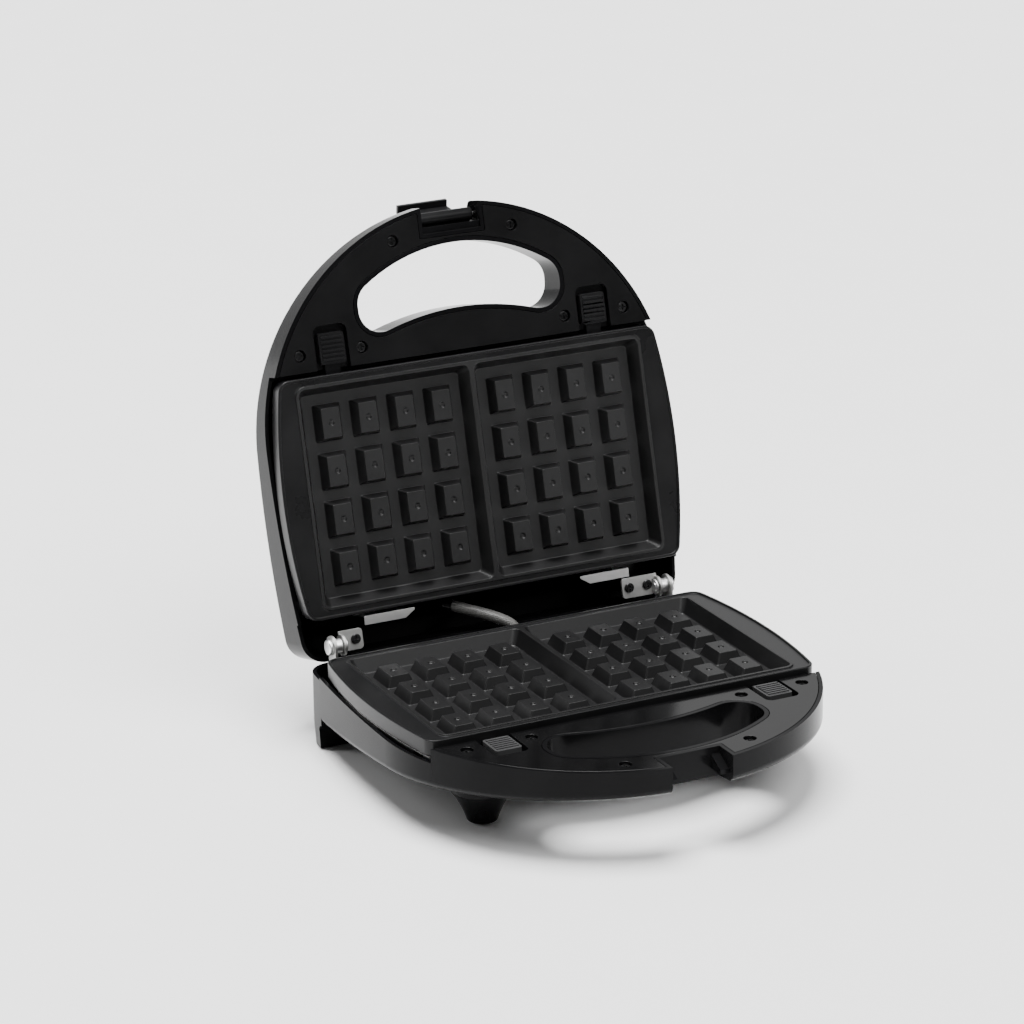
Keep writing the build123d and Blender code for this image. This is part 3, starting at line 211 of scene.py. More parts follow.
PLATE_REAR, PLATE_FRONT = plate_high.y - LUG_PAST, plate_low.y
PLATE_MID = (PLATE_REAR + PLATE_FRONT) / 2
RIM = plate_high.z
SIDE_BULGE = 6.5
CORNER_R = 7.0
LIP_W = 1.5              # raised lip round the plate's edge
LIP_FOOT, LIP_RUN = 0.15, 1.4
BEAD_H = 0.8             # bead round the pair of cavities, level with the rim
BEAD_R = 4.0
BEAD_LINE = 1.7          # where the rim's smoother coat gives way to the pebbled one
SKIRT_FOOT = -9.0
SKIRT_EASE, RIM_EASE = 0.5, 0.55
CAST = 2.3               # wall of the casting
TUB_R = 5.0
DIVIDER = 3.0
CAVITY_SIDE, CAVITY_END = 16.9, 6.3
CAVITY_FLOOR = -8.5
CAVITY_DRAFT = 3.8
CAVITY_R, CAVITY_R_LOSS = 3.6, 0.3
MOUTH_EASE, FLOOR_EASE = 0.5, 0.8
FLAT_RUN = 1.2           # level strip left beyond a rounded foot or shoulder
BLOCK_W, BLOCK_D, BLOCK_H = 16.3, 20.6, 6.25
BLOCK_DRAFT_W, BLOCK_DRAFT_D = 2.75, 2.0
BLOCK_FOOT_EASE, BLOCK_TOP_EASE = 0.6, 0.4
BLOCK_R, BLOCK_R_LOSS = 1.0, 0.1
BLOCKS = 4               # each way in a cavity
DIMPLE_R, DIMPLE_DEPTH = 1.5, 0.9
DIMPLE_SECTION = ((1.28, 0), (1.16, 0.1), (1.08, 0.5), (0.92, 0.95), (0.4, 1.1))  # shares of radius and depth
NEARLY_ROUND = 0.999     # corner radius of a square drawn as a circle, kept off its sides
LONGEST_EASE = 0.48      # most of a side that one rounded corner may take


def eased_profile(corners, steps=4):
    """A section line (inset, height, radius) with each inner corner rounded to its radius."""
    line = [Vector(corners[0][:2])]
    for before, here, after in zip(corners, corners[1:], corners[2:]):
        p, a, b = Vector(here[:2]), Vector(before[:2]), Vector(after[:2])
        back, on = (a - p).normalized(), (b - p).normalized()
        half = back.angle(on) / 2
        reach = min(here[2] / math.tan(half), LONGEST_EASE * (a - p).length, LONGEST_EASE * (b - p).length)
        radius = reach * math.tan(half)
        centre = p + (back + on).normalized() * radius / math.sin(half)
        start = p + back * reach - centre
        turn = start.angle_signed(p + on * reach - centre)
        for i in range(steps + 1):
            line.append(centre + Matrix.Rotation(-turn * i / steps, 2) @ start)
    line.append(Vector(corners[-1][:2]))
    return line


def rounded_box(x, y, wide, deep, radius, steps=4):
    """Corner points of a rounded rectangle, anticlockwise."""
    points = []
    for quarter, (sx, sy) in enumerate(((1, 1), (-1, 1), (-1, -1), (1, -1))):
        for i in range(steps + 1):
            a = math.radians(90 * (quarter + i / steps))
            points.append((x + sx * (wide / 2 - radius) + radius * math.cos(a),
                           y + sy * (deep / 2 - radius) + radius * math.sin(a)))
    return points


def plate_plan(inset, steps=6, side_steps=24):
    """The plate's bowed outline, inset by a distance, anticlockwise from the rear right corner."""
    half_deep = (PLATE_REAR - PLATE_FRONT) / 2
    arc = (half_deep ** 2 + SIDE_BULGE ** 2) / (2 * SIDE_BULGE)
    centre_x = PLATE_HALF - arc
    corner_y = half_deep - CORNER_R
    corner_x = centre_x + math.sqrt((arc - CORNER_R) ** 2 - corner_y ** 2)
    lean = math.atan2(corner_y, corner_x - centre_x)
    quarter = []
    for i in range(side_steps // 2 + 1):
        a = lean * i / (side_steps // 2)
        quarter.append((centre_x + (arc - inset) * math.cos(a), (arc - inset) * math.sin(a)))
    for i in range(1, steps + 1):
        a = lean + (math.pi / 2 - lean) * i / steps
        quarter.append((corner_x + (CORNER_R - inset) * math.cos(a),
                        corner_y + (CORNER_R - inset) * math.sin(a)))
    half = quarter + [(-x, y) for x, y in reversed(quarter)]
    points = half + [(-x, -y) for x, y in half[1:-1]]
    return [(x, PLATE_MID + y) for x, y in points]


class Casting:
    """A closed skin made of rings of points joined by walls and flat faces."""

    def __init__(self):
        self.form = bmesh.new()

    def ring(self, points, height):
        return [self.form.verts.new((x, y, height)) for x, y in points]

    def wall(self, low, high):
        count = len(low)
        for i in range(count):
            j = (i + 1) % count
            self.form.faces.new((low[i], low[j], high[j], high[i]))

    def stack(self, rings):
        for low, high in zip(rings, rings[1:]):
            self.wall(low, high)
        return rings[-1]

    def flat(self, outer, *holes):
        edges = []
        for ring in (outer, *holes):
            for a, b in zip(ring, ring[1:] + ring[:1]):
                edges.append(self.form.edges.get((a, b)) or self.form.edges.new((a, b)))
        bmesh.ops.triangle_fill(self.form, edges=edges, use_beauty=True, use_dissolve=False)

    def bar(self, x, y, wide, deep, low, high, radius, ease):
        """A closed rounded bar standing between two heights."""
        levels = ((low, ease), (low + ease, 0), (high - ease, 0), (high, ease))
        rings = [self.ring(rounded_box(x, y, wide - 2 * inset, deep - 2 * inset, radius - inset / 2), height)
                 for height, inset in levels]
        self.form.faces.new(reversed(rings[0]))
        self.form.faces.new(self.stack(rings))

    def piece(self, name):
        bmesh.ops.recalc_face_normals(self.form, faces=self.form.faces)
        mesh = bpy.data.meshes.new(name)
        self.form.to_mesh(mesh)
        self.form.free()
        for face in mesh.polygons:
            face.use_smooth = True
        piece = bpy.data.objects.new(name, mesh)
        bpy.context.scene.collection.objects.link(piece)
        normals = piece.modifiers.new("even shading", "WEIGHTED_NORMAL")
        normals.keep_sharp = True
        return piece


def block_centres(sign):
    """Centres of one cavity's sixteen blocks, with even lanes between them."""
    left, right = DIVIDER / 2 + CAVITY_DRAFT, PLATE_HALF - CAVITY_SIDE - CAVITY_DRAFT
    front, rear = PLATE_FRONT + CAVITY_END + CAVITY_DRAFT, PLATE_REAR - CAVITY_END - CAVITY_DRAFT
    lane_x = (right - left - BLOCKS * BLOCK_W) / (BLOCKS + 1)
    lane_y = (rear - front - BLOCKS * BLOCK_D) / (BLOCKS + 1)
    for i in range(BLOCKS):
        for j in range(BLOCKS):
            x = left + lane_x * (i + 1) + BLOCK_W * (i + 0.5)
            yield sign * x, front + lane_y * (j + 1) + BLOCK_D * (j + 0.5)


def block_on(casting, x, y):
    """One tapered block; returns the ring where it meets the cavity floor."""
    top = CAVITY_FLOOR + BLOCK_H
    section = eased_profile([(-FLAT_RUN, CAVITY_FLOOR, 0), (0, CAVITY_FLOOR, BLOCK_FOOT_EASE),
                             (BLOCK_DRAFT_W, top, BLOCK_TOP_EASE), (BLOCK_DRAFT_W + FLAT_RUN, top, 0)])
    rings = []
    for inset, height in section:
        wide = BLOCK_W - 2 * inset
        deep = BLOCK_D - 2 * inset * BLOCK_DRAFT_D / BLOCK_DRAFT_W
        rings.append(casting.ring(rounded_box(x, y, wide, deep, BLOCK_R - BLOCK_R_LOSS * inset), height))
    last = casting.stack(rings)
    dimple = []
    for part, sink in DIMPLE_SECTION:
        circle = rounded_box(x, y, 2 * DIMPLE_R * part, 2 * DIMPLE_R * part, DIMPLE_R * part * NEARLY_ROUND)
        dimple.append(casting.ring(circle, top - sink * DIMPLE_DEPTH))
    casting.wall(last, dimple[0])
    casting.form.faces.new(casting.stack(dimple))
    return rings[0]


def fit_lugs_and_windows(body):
    """The rear lugs and rest pads joined to a plate, and the tongue windows cut through its front skirt."""
    joined, cut = Casting(), Casting()
    arc = ((PLATE_REAR - PLATE_FRONT) ** 2 / 4 + SIDE_BULGE ** 2) / (2 * SIDE_BULGE)
    pad_x = PLATE_HALF - arc + math.sqrt(arc ** 2 - PAD_RUN ** 2) - PAD_INSET - PAD_W / 2
    for sign in (-1, 1):
        lug_y = PLATE_REAR + (LUG_PAST - CAST / 2) / 2
        joined.bar(sign * LUG_X, lug_y, LUG_W, LUG_PAST + CAST / 2, LUG_Z - LUG_T / 2, LUG_Z + LUG_T / 2,
                   LUG_R, LUG_EASE)
        for y in (PLATE_MID - PAD_RUN, PLATE_MID + PAD_RUN):
            joined.bar(sign * pad_x, y, PAD_W, PAD_L, PAD_LOW, SKIRT_FOOT + PAD_RISE, PAD_R, PAD_EASE)
        cut.bar(sign * WINDOW_X, PLATE_FRONT + CAST / 2, WINDOW_W, CAST * 2, WINDOW_LOW, WINDOW_HIGH,
                WINDOW_R, WINDOW_EASE)
    for tool, way in ((joined, "UNION"), (cut, "DIFFERENCE")):
        cutter = tool.piece("tool")
        fuse = body.modifiers.new("fuse", "BOOLEAN")
        fuse.operation = way
        fuse.solver = "EXACT"
        fuse.object = cutter
        body.modifiers.move(len(body.modifiers) - 1, 0)
        whole = bpy.data.meshes.new_from_object(body.evaluated_get(bpy.context.evaluated_depsgraph_get()))
        body.modifiers.remove(fuse)
        body.data = whole
        bpy.data.objects.remove(cutter)


def waffle_plate(name, place):
    """One plate as a closed casting: skirt, lip, bead, cavities, blocks and underside."""
    casting = Casting()
    flange = RIM - BEAD_H
    outer = eased_profile([(CAST, flange - CAST, 0), (CAST, SKIRT_FOOT, SKIRT_EASE),
                           (0, SKIRT_FOOT, SKIRT_EASE), (0, RIM, RIM_EASE), (LIP_W, RIM, 0.28),
                           (LIP_W + LIP_FOOT, flange, 0.3), (LIP_W + LIP_RUN, flange, 0)])
    skirt = [casting.ring(plate_plan(inset), height) for inset, height in outer]
    flange_edge = casting.stack(skirt)
    right = PLATE_HALF - CAVITY_SIDE
    wide, deep = 2 * right, PLATE_REAR - PLATE_FRONT - 2 * CAVITY_END
    bead = eased_profile([(-3.0, flange, 0), (-1.9, flange, 0.3), (-1.75, RIM, 0.26), (-1.2, RIM, 0)])
    bead_rings = []
    for inset, height in bead:
        plan = rounded_box(0, PLATE_MID, wide - 2 * inset, deep - 2 * inset, BEAD_R - inset)
        bead_rings.append(casting.ring(plan, height))
    casting.flat(flange_edge, bead_rings[0])
    bead_top = casting.stack(bead_rings)
    mouths = []
    for sign in (-1, 1):
        middle = sign * (right + DIVIDER / 2) / 2
        slope = eased_profile([(-0.6, RIM, 0), (0, RIM, MOUTH_EASE), (CAVITY_DRAFT, CAVITY_FLOOR, FLOOR_EASE),
                               (CAVITY_DRAFT + FLAT_RUN, CAVITY_FLOOR, 0)])
        rings = []
        for inset, height in slope:
            plan = rounded_box(middle, PLATE_MID, right - DIVIDER / 2 - 2 * inset, deep - 2 * inset,
                               CAVITY_R - CAVITY_R_LOSS * inset)
            rings.append(casting.ring(plan, height))
        mouths.append(rings[0])
        floor = casting.stack(rings)
        feet = [block_on(casting, x, y) for x, y in block_centres(sign)]
        casting.flat(floor, *feet)
    casting.flat(bead_top, *mouths)
    tub = []
    for inset, height in ((-CAST, flange - CAST), (CAVITY_DRAFT - CAST, CAVITY_FLOOR - CAST)):
        plan = rounded_box(0, PLATE_MID, wide - 2 * inset, deep - 2 * inset, TUB_R)
        tub.append(casting.ring(plan, height))
    casting.flat(skirt[0], tub[0])
    casting.flat(casting.stack(tub))
    body = casting.piece(name)
    fit_lugs_and_windows(body)
    body.data.transform(place)
    if place.determinant() < 0:
        body.data.flip_normals()
    return body


def nonstick_coat(name):
    """Charcoal non-stick: pebbled spray texture over slow waves, a soft sheen and slow tone drift."""
    material, nodes, links, shader = new_material(name)
    drift = noise(nodes, links, scale=26, detail=5)
    tone = ramp(nodes, links, drift.outputs["Fac"], 0.3, 0.75,
                (0.0032, 0.0032, 0.0034), (0.0065, 0.0065, 0.0068))
    links.new(tone, shader.inputs["Base Color"])
    links.new(spread(nodes, links, drift.outputs["Fac"], 0.38, 0.47), shader.inputs["Roughness"])
    pebble = noise(nodes, links, scale=1500, detail=3, rough=0.6)
    coarse = relief(nodes, links, drift.outputs["Fac"], depth=0.0004, strength=0.15, shader=shader)
    relief(nodes, links, pebble.outputs["Fac"], depth=0.00008, strength=0.5, shader=shader, under=coarse)
    shader.inputs["Specular IOR Level"].default_value = 0.36
    return material


plate_coat = nonstick_coat("charcoal_nonstick")
rim_coat = grained_plastic("smooth_nonstick_rim", (0.006, 0.006, 0.0063), (0.010, 0.010, 0.0104),
                           rough_low=0.24, rough_high=0.34, grain=0.3, gloss=0.2)
BEAD_X = PLATE_HALF - CAVITY_SIDE + BEAD_LINE
BEAD_Y = (PLATE_REAR - PLATE_FRONT) / 2 - CAVITY_END + BEAD_LINE
for half, place in (("base", IN_BASE), ("lid", IN_LID)):
    plate = finish_piece(waffle_plate(half + "_plate_casting", place), half + "_plate", plate_coat)
    plate.data.materials.append(rim_coat)
    into_plate = place.inverted()
    for face in plate.data.polygons:
        at = into_plate @ face.center
        face.material_index = int(abs(at.x) > BEAD_X or abs(at.y - PLATE_MID) > BEAD_Y)

# ---- Reflector trays ----
# Deep-drawn trays of aluminised steel stand under the plates and throw the heat back at them.
# Each is screwed to its half and has two bright rear tabs whose slots take the plate's lugs.


def sheet_metal(name, dark, light, rough_low, rough_high, metal=1.0):
    """Rolled sheet metal with long faint roll marks and a fine grain."""
    material, nodes, links, shader = new_material(name)
    marks = noise(nodes, links, scale=90, detail=5, rough=0.6, stretch=(0.12, 1, 1))
    links.new(ramp(nodes, links, marks.outputs["Fac"], 0.3, 0.75, dark, light), shader.inputs["Base Color"])
    links.new(spread(nodes, links, marks.outputs["Fac"], rough_low, rough_high), shader.inputs["Roughness"])
    grain = noise(nodes, links, scale=900, detail=3, rough=0.6, stretch=(0.2, 1, 1))
    relief(nodes, links, grain.outputs["Fac"], depth=0.00003, strength=0.4, shader=shader)
    shader.inputs["Metallic"].default_value = metal
    return material


tray_steel = sheet_metal("aluminised_steel", (0.52, 0.52, 0.52), (0.72, 0.72, 0.71),
                         rough_low=0.26, rough_high=0.4)
for tray in ("base_tray", "lid_tray"):
    eased(tray, tray_steel, radius=0.18, segments=2)

# ---- Heating elements, clips and terminal blocks ----
# A bent tube of steel, browned by heat, lies in each tray under four zinc-plated saddle clips.
# Its two ends go into a block of glazed ceramic.
sheath_steel = sheet_metal("heater_sheath", (0.16, 0.145, 0.125), (0.34, 0.31, 0.27),
                           rough_low=0.35, rough_high=0.55)
zinc_plate = sheet_metal("zinc_plating", (0.36, 0.36, 0.355), (0.52, 0.52, 0.51),
                         rough_low=0.42, rough_high=0.54)


def fired_ceramic(name):
    """Off-white glazed ceramic with a few dark specks."""
    material, nodes, links, shader = new_material(name)
    specks = noise(nodes, links, scale=900, detail=2, rough=0.7)
    links.new(ramp(nodes, links, specks.outputs["Fac"], 0.3, 0.42, (0.42, 0.38, 0.31), (0.72, 0.69, 0.62)),
              shader.inputs["Base Color"])
    links.new(spread(nodes, links, specks.outputs["Fac"], 0.2, 0.4), shader.inputs["Roughness"])
    relief(nodes, links, specks.outputs["Fac"], depth=0.00004, strength=0.3, shader=shader)
    return material


ceramic = fired_ceramic("glazed_ceramic")
for half in ("base", "lid"):
    eased(half + "_heating_element", sheath_steel, radius=0.2, segments=2)
    eased(half + "_element_clips", zinc_plate, radius=0.15, segments=2)
    eased(half + "_terminal_block", ceramic, radius=0.5)

# ---- Base electrical parts ----
# Thermostat, thermal fuse and wiring block sit under the base tray.
# The thermostat and the block are brown phenolic mouldings; the fuse has a ceramic body.


def phenolic(name):
    """Brown phenolic moulding with mottled filler."""
    material, nodes, links, shader = new_material(name)
    filler = noise(nodes, links, scale=420, detail=5, rough=0.7)
    links.new(ramp(nodes, links, filler.outputs["Fac"], 0.3, 0.7, (0.07, 0.03, 0.015), (0.17, 0.085, 0.045)),
              shader.inputs["Base Color"])
    links.new(spread(nodes, links, filler.outputs["Fac"], 0.35, 0.5), shader.inputs["Roughness"])
    relief(nodes, links, filler.outputs["Fac"], depth=0.00005, strength=0.3, shader=shader)
    return material


brown_phenolic = phenolic("brown_phenolic")
eased("thermostat", brown_phenolic, radius=0.4)
eased("wiring_block", brown_phenolic, radius=0.5)
eased("thermal_fuse", ceramic, radius=0.2, segments=2)

# ---- Release sliders and their springs ----
# Ribbed black thumb sliders run in the covers' pockets; a small coil spring behind each pushes its tongue
# into the plate. The base's pair is shinier than the lid's and painted paler, as a painted reflection of the
# overhead light.
slider_black = polished_plastic("slider_black", (0.006, 0.006, 0.0063), (0.010, 0.010, 0.0104),
                                rough_low=0.26, rough_high=0.4)
# Painted reflection: the base sliders' lighter colour stands in for the overhead light they reflect.
slider_black_painted_sheen = polished_plastic("slider_black_painted_reflection", (0.03, 0.03, 0.0305), (0.05, 0.05, 0.051),
                                rough_low=0.2, rough_high=0.34)
spring_steel = sheet_metal("spring_wire", (0.38, 0.38, 0.38), (0.55, 0.55, 0.55),
                           rough_low=0.22, rough_high=0.35)


def springy_coil(node, place):
    """A coil spring in spring steel, smooth-shaded and put in place of its frame node."""
    wire = frame["nodes"][node].data.copy()
    wire.materials.clear()
    wire.materials.append(spring_steel)
    for face in wire.polygons:
        face.use_smooth = True
    coil = bpy.data.objects.new(node + "_finished", wire)
    bpy.context.scene.collection.objects.link(coil)
    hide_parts(node)
    from_place = place.inverted()
    turns = [from_place @ vertex.co for vertex in wire.vertices]
    low, high = (Vector([pick(turn[axis] for turn in turns) for axis in range(3)]) for pick in (min, max))
    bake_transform(coil)


for half, place in (("base", IN_BASE), ("lid", IN_LID)):
    for side in ("left", "right"):
        eased(f"{half}_slider_{side}", slider_black if half == "lid" else slider_black_painted_sheen, radius=0.35)
        springy_coil(f"{half}_slider_spring_{side}", place)

# ---- Latch ----
# A one-piece moulded latch turns on a steel pin across the lid's notch.
# With the lid shut it swings over and hooks under two catches at the sides of the base's notch.
eased("latch_clip", slider_black, radius=0.45)

# ---- Hinge ----
# Stamped steel brackets, zinc-plated, are screwed to both halves and turn on two round-headed pins.
# The pins are bright-plated turned steel, with a spacer between the ears and a retaining ring at the end.


def bright_plating(name):
    """Bright plating over turned steel, softened by handling, with faint turning rings."""
    material, nodes, links, shader = new_material(name)
    turning = noise(nodes, links, scale=700, detail=3, rough=0.5, stretch=(1, 0.1, 0.1))
    links.new(ramp(nodes, links, turning.outputs["Fac"], 0.3, 0.7, (0.78, 0.78, 0.78), (0.92, 0.92, 0.92)),
              shader.inputs["Base Color"])
    links.new(spread(nodes, links, turning.outputs["Fac"], 0.3, 0.42), shader.inputs["Roughness"])
    relief(nodes, links, turning.outputs["Fac"], depth=0.00001, strength=0.12, shader=shader)
    shader.inputs["Metallic"].default_value = 1.0
    return material


chrome = bright_plating("bright_plating")
for side in ("left", "right"):
    eased("base_hinge_bracket_" + side, zinc_plate, radius=0.25, segments=2)
    eased("lid_hinge_bracket_" + side, zinc_plate, radius=0.25, segments=2)
    eased("hinge_pin_" + side, chrome, radius=0.3)
for ring in ("hinge_spacers", "hinge_clips", "latch_pin"):
    eased(ring, chrome, radius=0.15, segments=2)

# ---- Screws ----
# Cross-head steel screws hold the covers, trays and hinge brackets to their halves.
# Those of the covers and brackets are black-oxide finished; those of the trays are zinc-plated.
black_oxide = sheet_metal("black_oxide", (0.018, 0.018, 0.0185), (0.06, 0.06, 0.061),
                          rough_low=0.2, rough_high=0.34, metal=0.9)
for half in ("base", "lid"):
    eased(half + "_cover_screws", black_oxide, radius=0.15, segments=2)
    eased(half + "_tray_screws", zinc_plate, radius=0.12, segments=2)
    eased(half + "_bracket_screws", black_oxide, radius=0.12, segments=2)

# ---- Feet, pads and cord gland ----
# Two flared stub feet at the front are moulded in the shell's black plastic.
# The pads under feet and legs are soft black rubber pressed in, and so is the gland in the rear wall.


def soft_rubber(name):
    """Matt black rubber with a dusty bloom."""
    material, nodes, links, shader = new_material(name)
    bloom = noise(nodes, links, scale=160, detail=5, rough=0.7)
    tone = ramp(nodes, links, bloom.outputs["Fac"], 0.35, 0.75, (0.015, 0.015, 0.015), (0.035, 0.034, 0.033))
    links.new(tone, shader.inputs["Base Color"])
    links.new(spread(nodes, links, bloom.outputs["Fac"], 0.65, 0.85), shader.inputs["Roughness"])
    relief(nodes, links, bloom.outputs["Fac"], depth=0.0001, strength=0.4, shader=shader)
    return material


rubber = soft_rubber("black_rubber")
for side in ("left", "right"):
    eased("front_foot_" + side, shell_black, radius=0.5)
eased("foot_pads", rubber, radius=0.5)
eased("cord_gland", rubber, radius=0.4)

# ---- Indicator lenses ----
# Two small lenses, red for power and green for ready, show through the outside of the lid.
# They are moulded in clear tinted plastic and pressed in from inside.


def tinted_lens(name, dark, light):
    """Clear moulded lens over a frosted core."""
    material, nodes, links, shader = new_material(name)
    core = noise(nodes, links, scale=500, detail=3)
    links.new(ramp(nodes, links, core.outputs["Fac"], 0.3, 0.7, dark, light), shader.inputs["Base Color"])
    links.new(spread(nodes, links, core.outputs["Fac"], 0.06, 0.14), shader.inputs["Roughness"])
    shader.inputs["Transmission Weight"].default_value = 0.35
    shader.inputs["Coat Weight"].default_value = 0.6
    return material


eased("lid_power_lens", tinted_lens("red_lens", (0.30, 0.008, 0.006), (0.5, 0.02, 0.015)), radius=0.2)
eased("lid_ready_lens", tinted_lens("green_lens", (0.01, 0.2, 0.03), (0.03, 0.36, 0.07)), radius=0.2)

# ---- Sleeved cable ----
# The lid heater's wires cross the hinge in a sleeve of braided glass yarn under varnish.
# A moulded clamp on each half holds one end; the length between is built in one fixed shape.
SLEEVE_R = 3.3
ROUTE = [(-27.0, 19.5, 5.0), (-15.5, 10.0, 2.5), (-1.0, 4.0, -2.5), (9.5, 1.0, -9.0), (12.0, -2.0, -20.0)]
CORE_SUNK, CORE_SIDES = 0.45, 32
STRANDS = 10             # each way round
STRAND_SUNK = 0.32
STRAND_SECTION = ((0.82, 0), (0.5, 0.16), (-0.5, 0.16), (-0.82, 0), (-0.5, -0.12), (0.5, -0.12))
STRAND_LEAN = 0.9        # how far a strand's flat turns with its slope
WEAVE = 0.14             # rise and fall where strands cross
TURNS_PER_MM = 1 / 19.0
STRAND_POINTS = 150


def smooth_route(points, count):
    """Evenly spaced places along a smooth line through a cable's route."""
    line = bpy.data.curves.new("route", "CURVE")
    line.dimensions = "3D"
    line.resolution_u = 40
    spline = line.splines.new("NURBS")
    spline.points.add(len(points) - 1)
    for target, point in zip(spline.points, points):
        target.co = (*point, 1)
    spline.order_u = 3
    spline.use_endpoint_u = True
    holder = bpy.data.objects.new("route", line)
    sampled = bpy.data.meshes.new_from_object(holder)
    places = [vertex.co.copy() for vertex in sampled.vertices]
    bpy.data.objects.remove(holder)
    lengths = [0.0]
    for a, b in zip(places, places[1:]):
        lengths.append(lengths[-1] + (b - a).length)
    even = []
    k = 0
    for i in range(count):
        goal = lengths[-1] * i / (count - 1)
        while k < len(places) - 2 and lengths[k + 1] < goal:
            k += 1
        part = (goal - lengths[k]) / (lengths[k + 1] - lengths[k])
        even.append(places[k].lerp(places[k + 1], min(part, 1.0)))
    return even, lengths[-1]


def braided_sleeve():
    """A varnished tube under two sets of strands that cross over and under each other."""
    path, length = smooth_route(ROUTE, STRAND_POINTS)
    frames = []
    side = Vector((0, 0, 1))
    for i, point in enumerate(path):
        ahead = (path[min(i + 1, len(path) - 1)] - path[max(i - 1, 0)]).normalized()
        side = (side - ahead * side.dot(ahead)).normalized()
        frames.append((point, side.copy(), ahead.cross(side)))
    form = bmesh.new()

    def tube(rings):
        for low, high in zip(rings, rings[1:]):
            count = len(low)
            for i in range(count):
                j = (i + 1) % count
                form.faces.new((low[i], low[j], high[j], high[i]))
        form.faces.new(reversed(rings[0]))
        form.faces.new(rings[-1])

    core = []
    for point, u, v in frames:
        ring = []
        for i in range(CORE_SIDES):
            a = 2 * math.pi * i / CORE_SIDES
            ring.append(form.verts.new(point + (u * math.cos(a) + v * math.sin(a)) * (SLEEVE_R - CORE_SUNK)))
        core.append(ring)
    tube(core)
    for way in (-1, 1):
        for strand in range(STRANDS):
            rings = []
            for i, (point, u, v) in enumerate(frames):
                turn = length * i / (len(frames) - 1) * TURNS_PER_MM
                a = way * 2 * math.pi * turn + 2 * math.pi * strand / STRANDS
                out = u * math.cos(a) + v * math.sin(a)
                along = v * math.cos(a) - u * math.sin(a)
                ahead = u.cross(v)
                weave = WEAVE * way * math.cos(2 * math.pi * turn * STRANDS * 2)
                centre = point + out * (SLEEVE_R - STRAND_SUNK + weave)
                across = (along + ahead * (-way * STRAND_LEAN)).normalized()
                ring = []
                for wide, tall in STRAND_SECTION:
                    ring.append(form.verts.new(centre + across * wide + out * tall))
                rings.append(ring)
            tube(rings)
    bmesh.ops.recalc_face_normals(form, faces=form.faces)
    mesh = bpy.data.meshes.new("braided_sleeve")
    form.to_mesh(mesh)
    form.free()
    mesh.transform(IN_BASE)
    for face in mesh.polygons:
        face.use_smooth = True
    piece = bpy.data.objects.new("braided_sleeve", mesh)
    bpy.context.scene.collection.objects.link(piece)
    return piece


def varnished_glass(name):
    """Off-white glass yarn under varnish, with fine threads along each strand."""
    material, nodes, links, shader = new_material(name)
    threads = noise(nodes, links, scale=2200, detail=3, rough=0.6)
    links.new(ramp(nodes, links, threads.outputs["Fac"], 0.3, 0.7, (0.05, 0.05, 0.049), (0.2, 0.197, 0.19)),
              shader.inputs["Base Color"])
    links.new(spread(nodes, links, threads.outputs["Fac"], 0.28, 0.45), shader.inputs["Roughness"])
    relief(nodes, links, threads.outputs["Fac"], depth=0.00006, strength=0.5, shader=shader)
    shader.inputs["Coat Weight"].default_value = 0.3
    return material


sleeve = braided_sleeve()
sleeve.data.materials.append(varnished_glass("varnished_glass_yarn"))
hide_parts("cable_sleeve")
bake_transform(sleeve)
for clamp in ("base_cable_clamp", "lid_cable_clamp"):
    eased(clamp, base_cover_black, radius=0.4)

# ---- Table, light and camera ----
# The maker stands on a seamless pale table under soft, even studio light from above.
# The camera is at the front left, a little above, with a long lens.
TABLE_HALF = 20.0
table_mesh = bpy.data.meshes.new("table")
table_form = bmesh.new()
bmesh.ops.create_grid(table_form, x_segments=8, y_segments=8, size=TABLE_HALF)
table_form.to_mesh(table_mesh)
table_form.free()
table = bpy.data.objects.new("table", table_mesh)
bpy.context.scene.collection.objects.link(table)
paper, paper_nodes, paper_links, paper_shader = new_material("pale_table")
tooth = noise(paper_nodes, paper_links, scale=14, detail=3)
paper_tone = ramp(paper_nodes, paper_links, tooth.outputs["Fac"], 0.2, 0.8,
                  (0.93, 0.93, 0.93), (0.95, 0.95, 0.95))
paper_links.new(paper_tone, paper_shader.inputs["Base Color"])
paper_shader.inputs["Roughness"].default_value = 0.7
paper_shader.inputs["Specular IOR Level"].default_value = 0.15
table_mesh.materials.append(paper)

world = bpy.data.worlds.new("studio")
world.use_nodes = True
sky_nodes, sky_links = world.node_tree.nodes, world.node_tree.links
sky_heading = sky_nodes.new("ShaderNodeTexCoord")
sky_axes = sky_nodes.new("ShaderNodeSeparateXYZ")
sky_links.new(sky_heading.outputs["Generated"], sky_axes.inputs["Vector"])
backdrop = ramp(sky_nodes, sky_links, sky_axes.outputs["Y"], 0.5, 0.85, (0.09, 0.09, 0.09), (1, 1, 1))
sky_links.new(backdrop, sky_nodes["Background"].inputs["Color"])
sky_nodes["Background"].inputs["Strength"].default_value = 1.1
bpy.context.scene.world = world


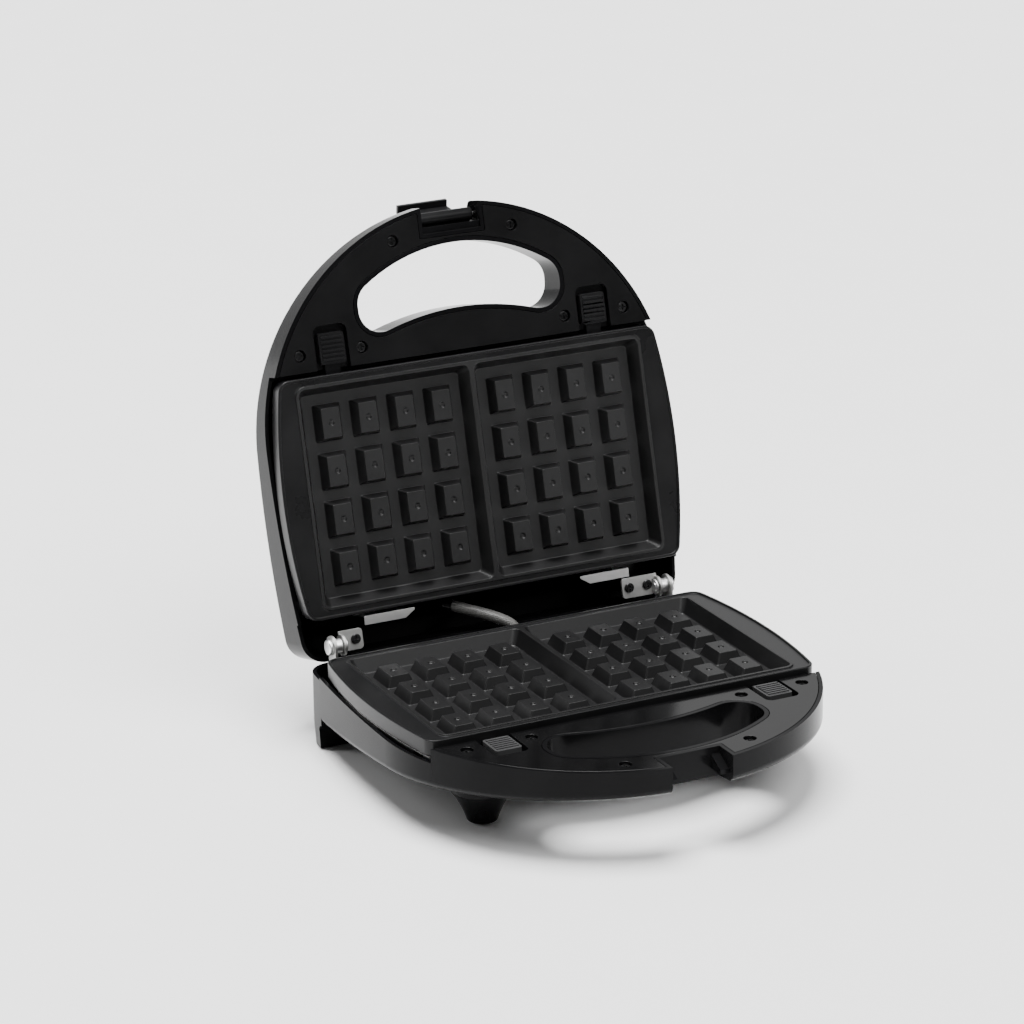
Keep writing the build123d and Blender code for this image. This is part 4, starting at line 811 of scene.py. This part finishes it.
def canopy(name, heading, spread_degrees, power):
    """A wide, even overhead light from one direction."""
    light = bpy.data.lights.new(name, "SUN")
    light.angle = math.radians(spread_degrees)
    light.energy = power
    lamp = bpy.data.objects.new(name, light)
    bpy.context.scene.collection.objects.link(lamp)
    lamp.rotation_mode = "QUATERNION"
    lamp.rotation_quaternion = Vector(heading).to_track_quat("-Z", "Y")


canopy("overhead", heading=(0.08, -0.08, -1), spread_degrees=36, power=7.0)
canopy("front_fill", heading=(-0.3, 0.8, -1), spread_degrees=40, power=2.4)


def softbox(name, place, aim, wide, deep, power):
    """A rectangular soft light aimed at a point."""
    light = bpy.data.lights.new(name, "AREA")
    light.shape = "RECTANGLE"
    light.size, light.size_y = wide, deep
    light.energy = power
    lamp = bpy.data.objects.new(name, light)
    bpy.context.scene.collection.objects.link(lamp)
    lamp.location = place
    lamp.rotation_mode = "QUATERNION"
    lamp.rotation_quaternion = (Vector(aim) - Vector(place)).to_track_quat("-Z", "Y")


softbox("left_strip", place=(-1.3, 0.8, 0.6), aim=(0, 0.05, 0.12), wide=0.5, deep=1.2, power=7)

CAMERA_AZIMUTH, CAMERA_ELEVATION = math.radians(-26.24), math.radians(19.26)
CAMERA_ROLL = math.radians(-0.71)
CAMERA_PLACE = (-0.9302, -1.8334, 0.8553)
SENSOR_WIDTH, LENS = 36, 142.25
camera_data = bpy.data.cameras.new("camera")
camera_data.sensor_width = SENSOR_WIDTH
camera_data.lens = LENS
camera = bpy.data.objects.new("camera", camera_data)
bpy.context.scene.collection.objects.link(camera)
back = Vector((math.sin(CAMERA_AZIMUTH) * math.cos(CAMERA_ELEVATION),
               -math.cos(CAMERA_AZIMUTH) * math.cos(CAMERA_ELEVATION), math.sin(CAMERA_ELEVATION)))
level = Vector((math.cos(CAMERA_AZIMUTH), math.sin(CAMERA_AZIMUTH), 0))
upright = back.cross(level)
right_axis = level * math.cos(CAMERA_ROLL) + upright * math.sin(CAMERA_ROLL)
up_axis = upright * math.cos(CAMERA_ROLL) - level * math.sin(CAMERA_ROLL)
turn = Matrix((right_axis, up_axis, back)).transposed()
camera.matrix_world = Matrix.Translation(CAMERA_PLACE) @ turn.to_4x4()
bpy.context.scene.camera = camera
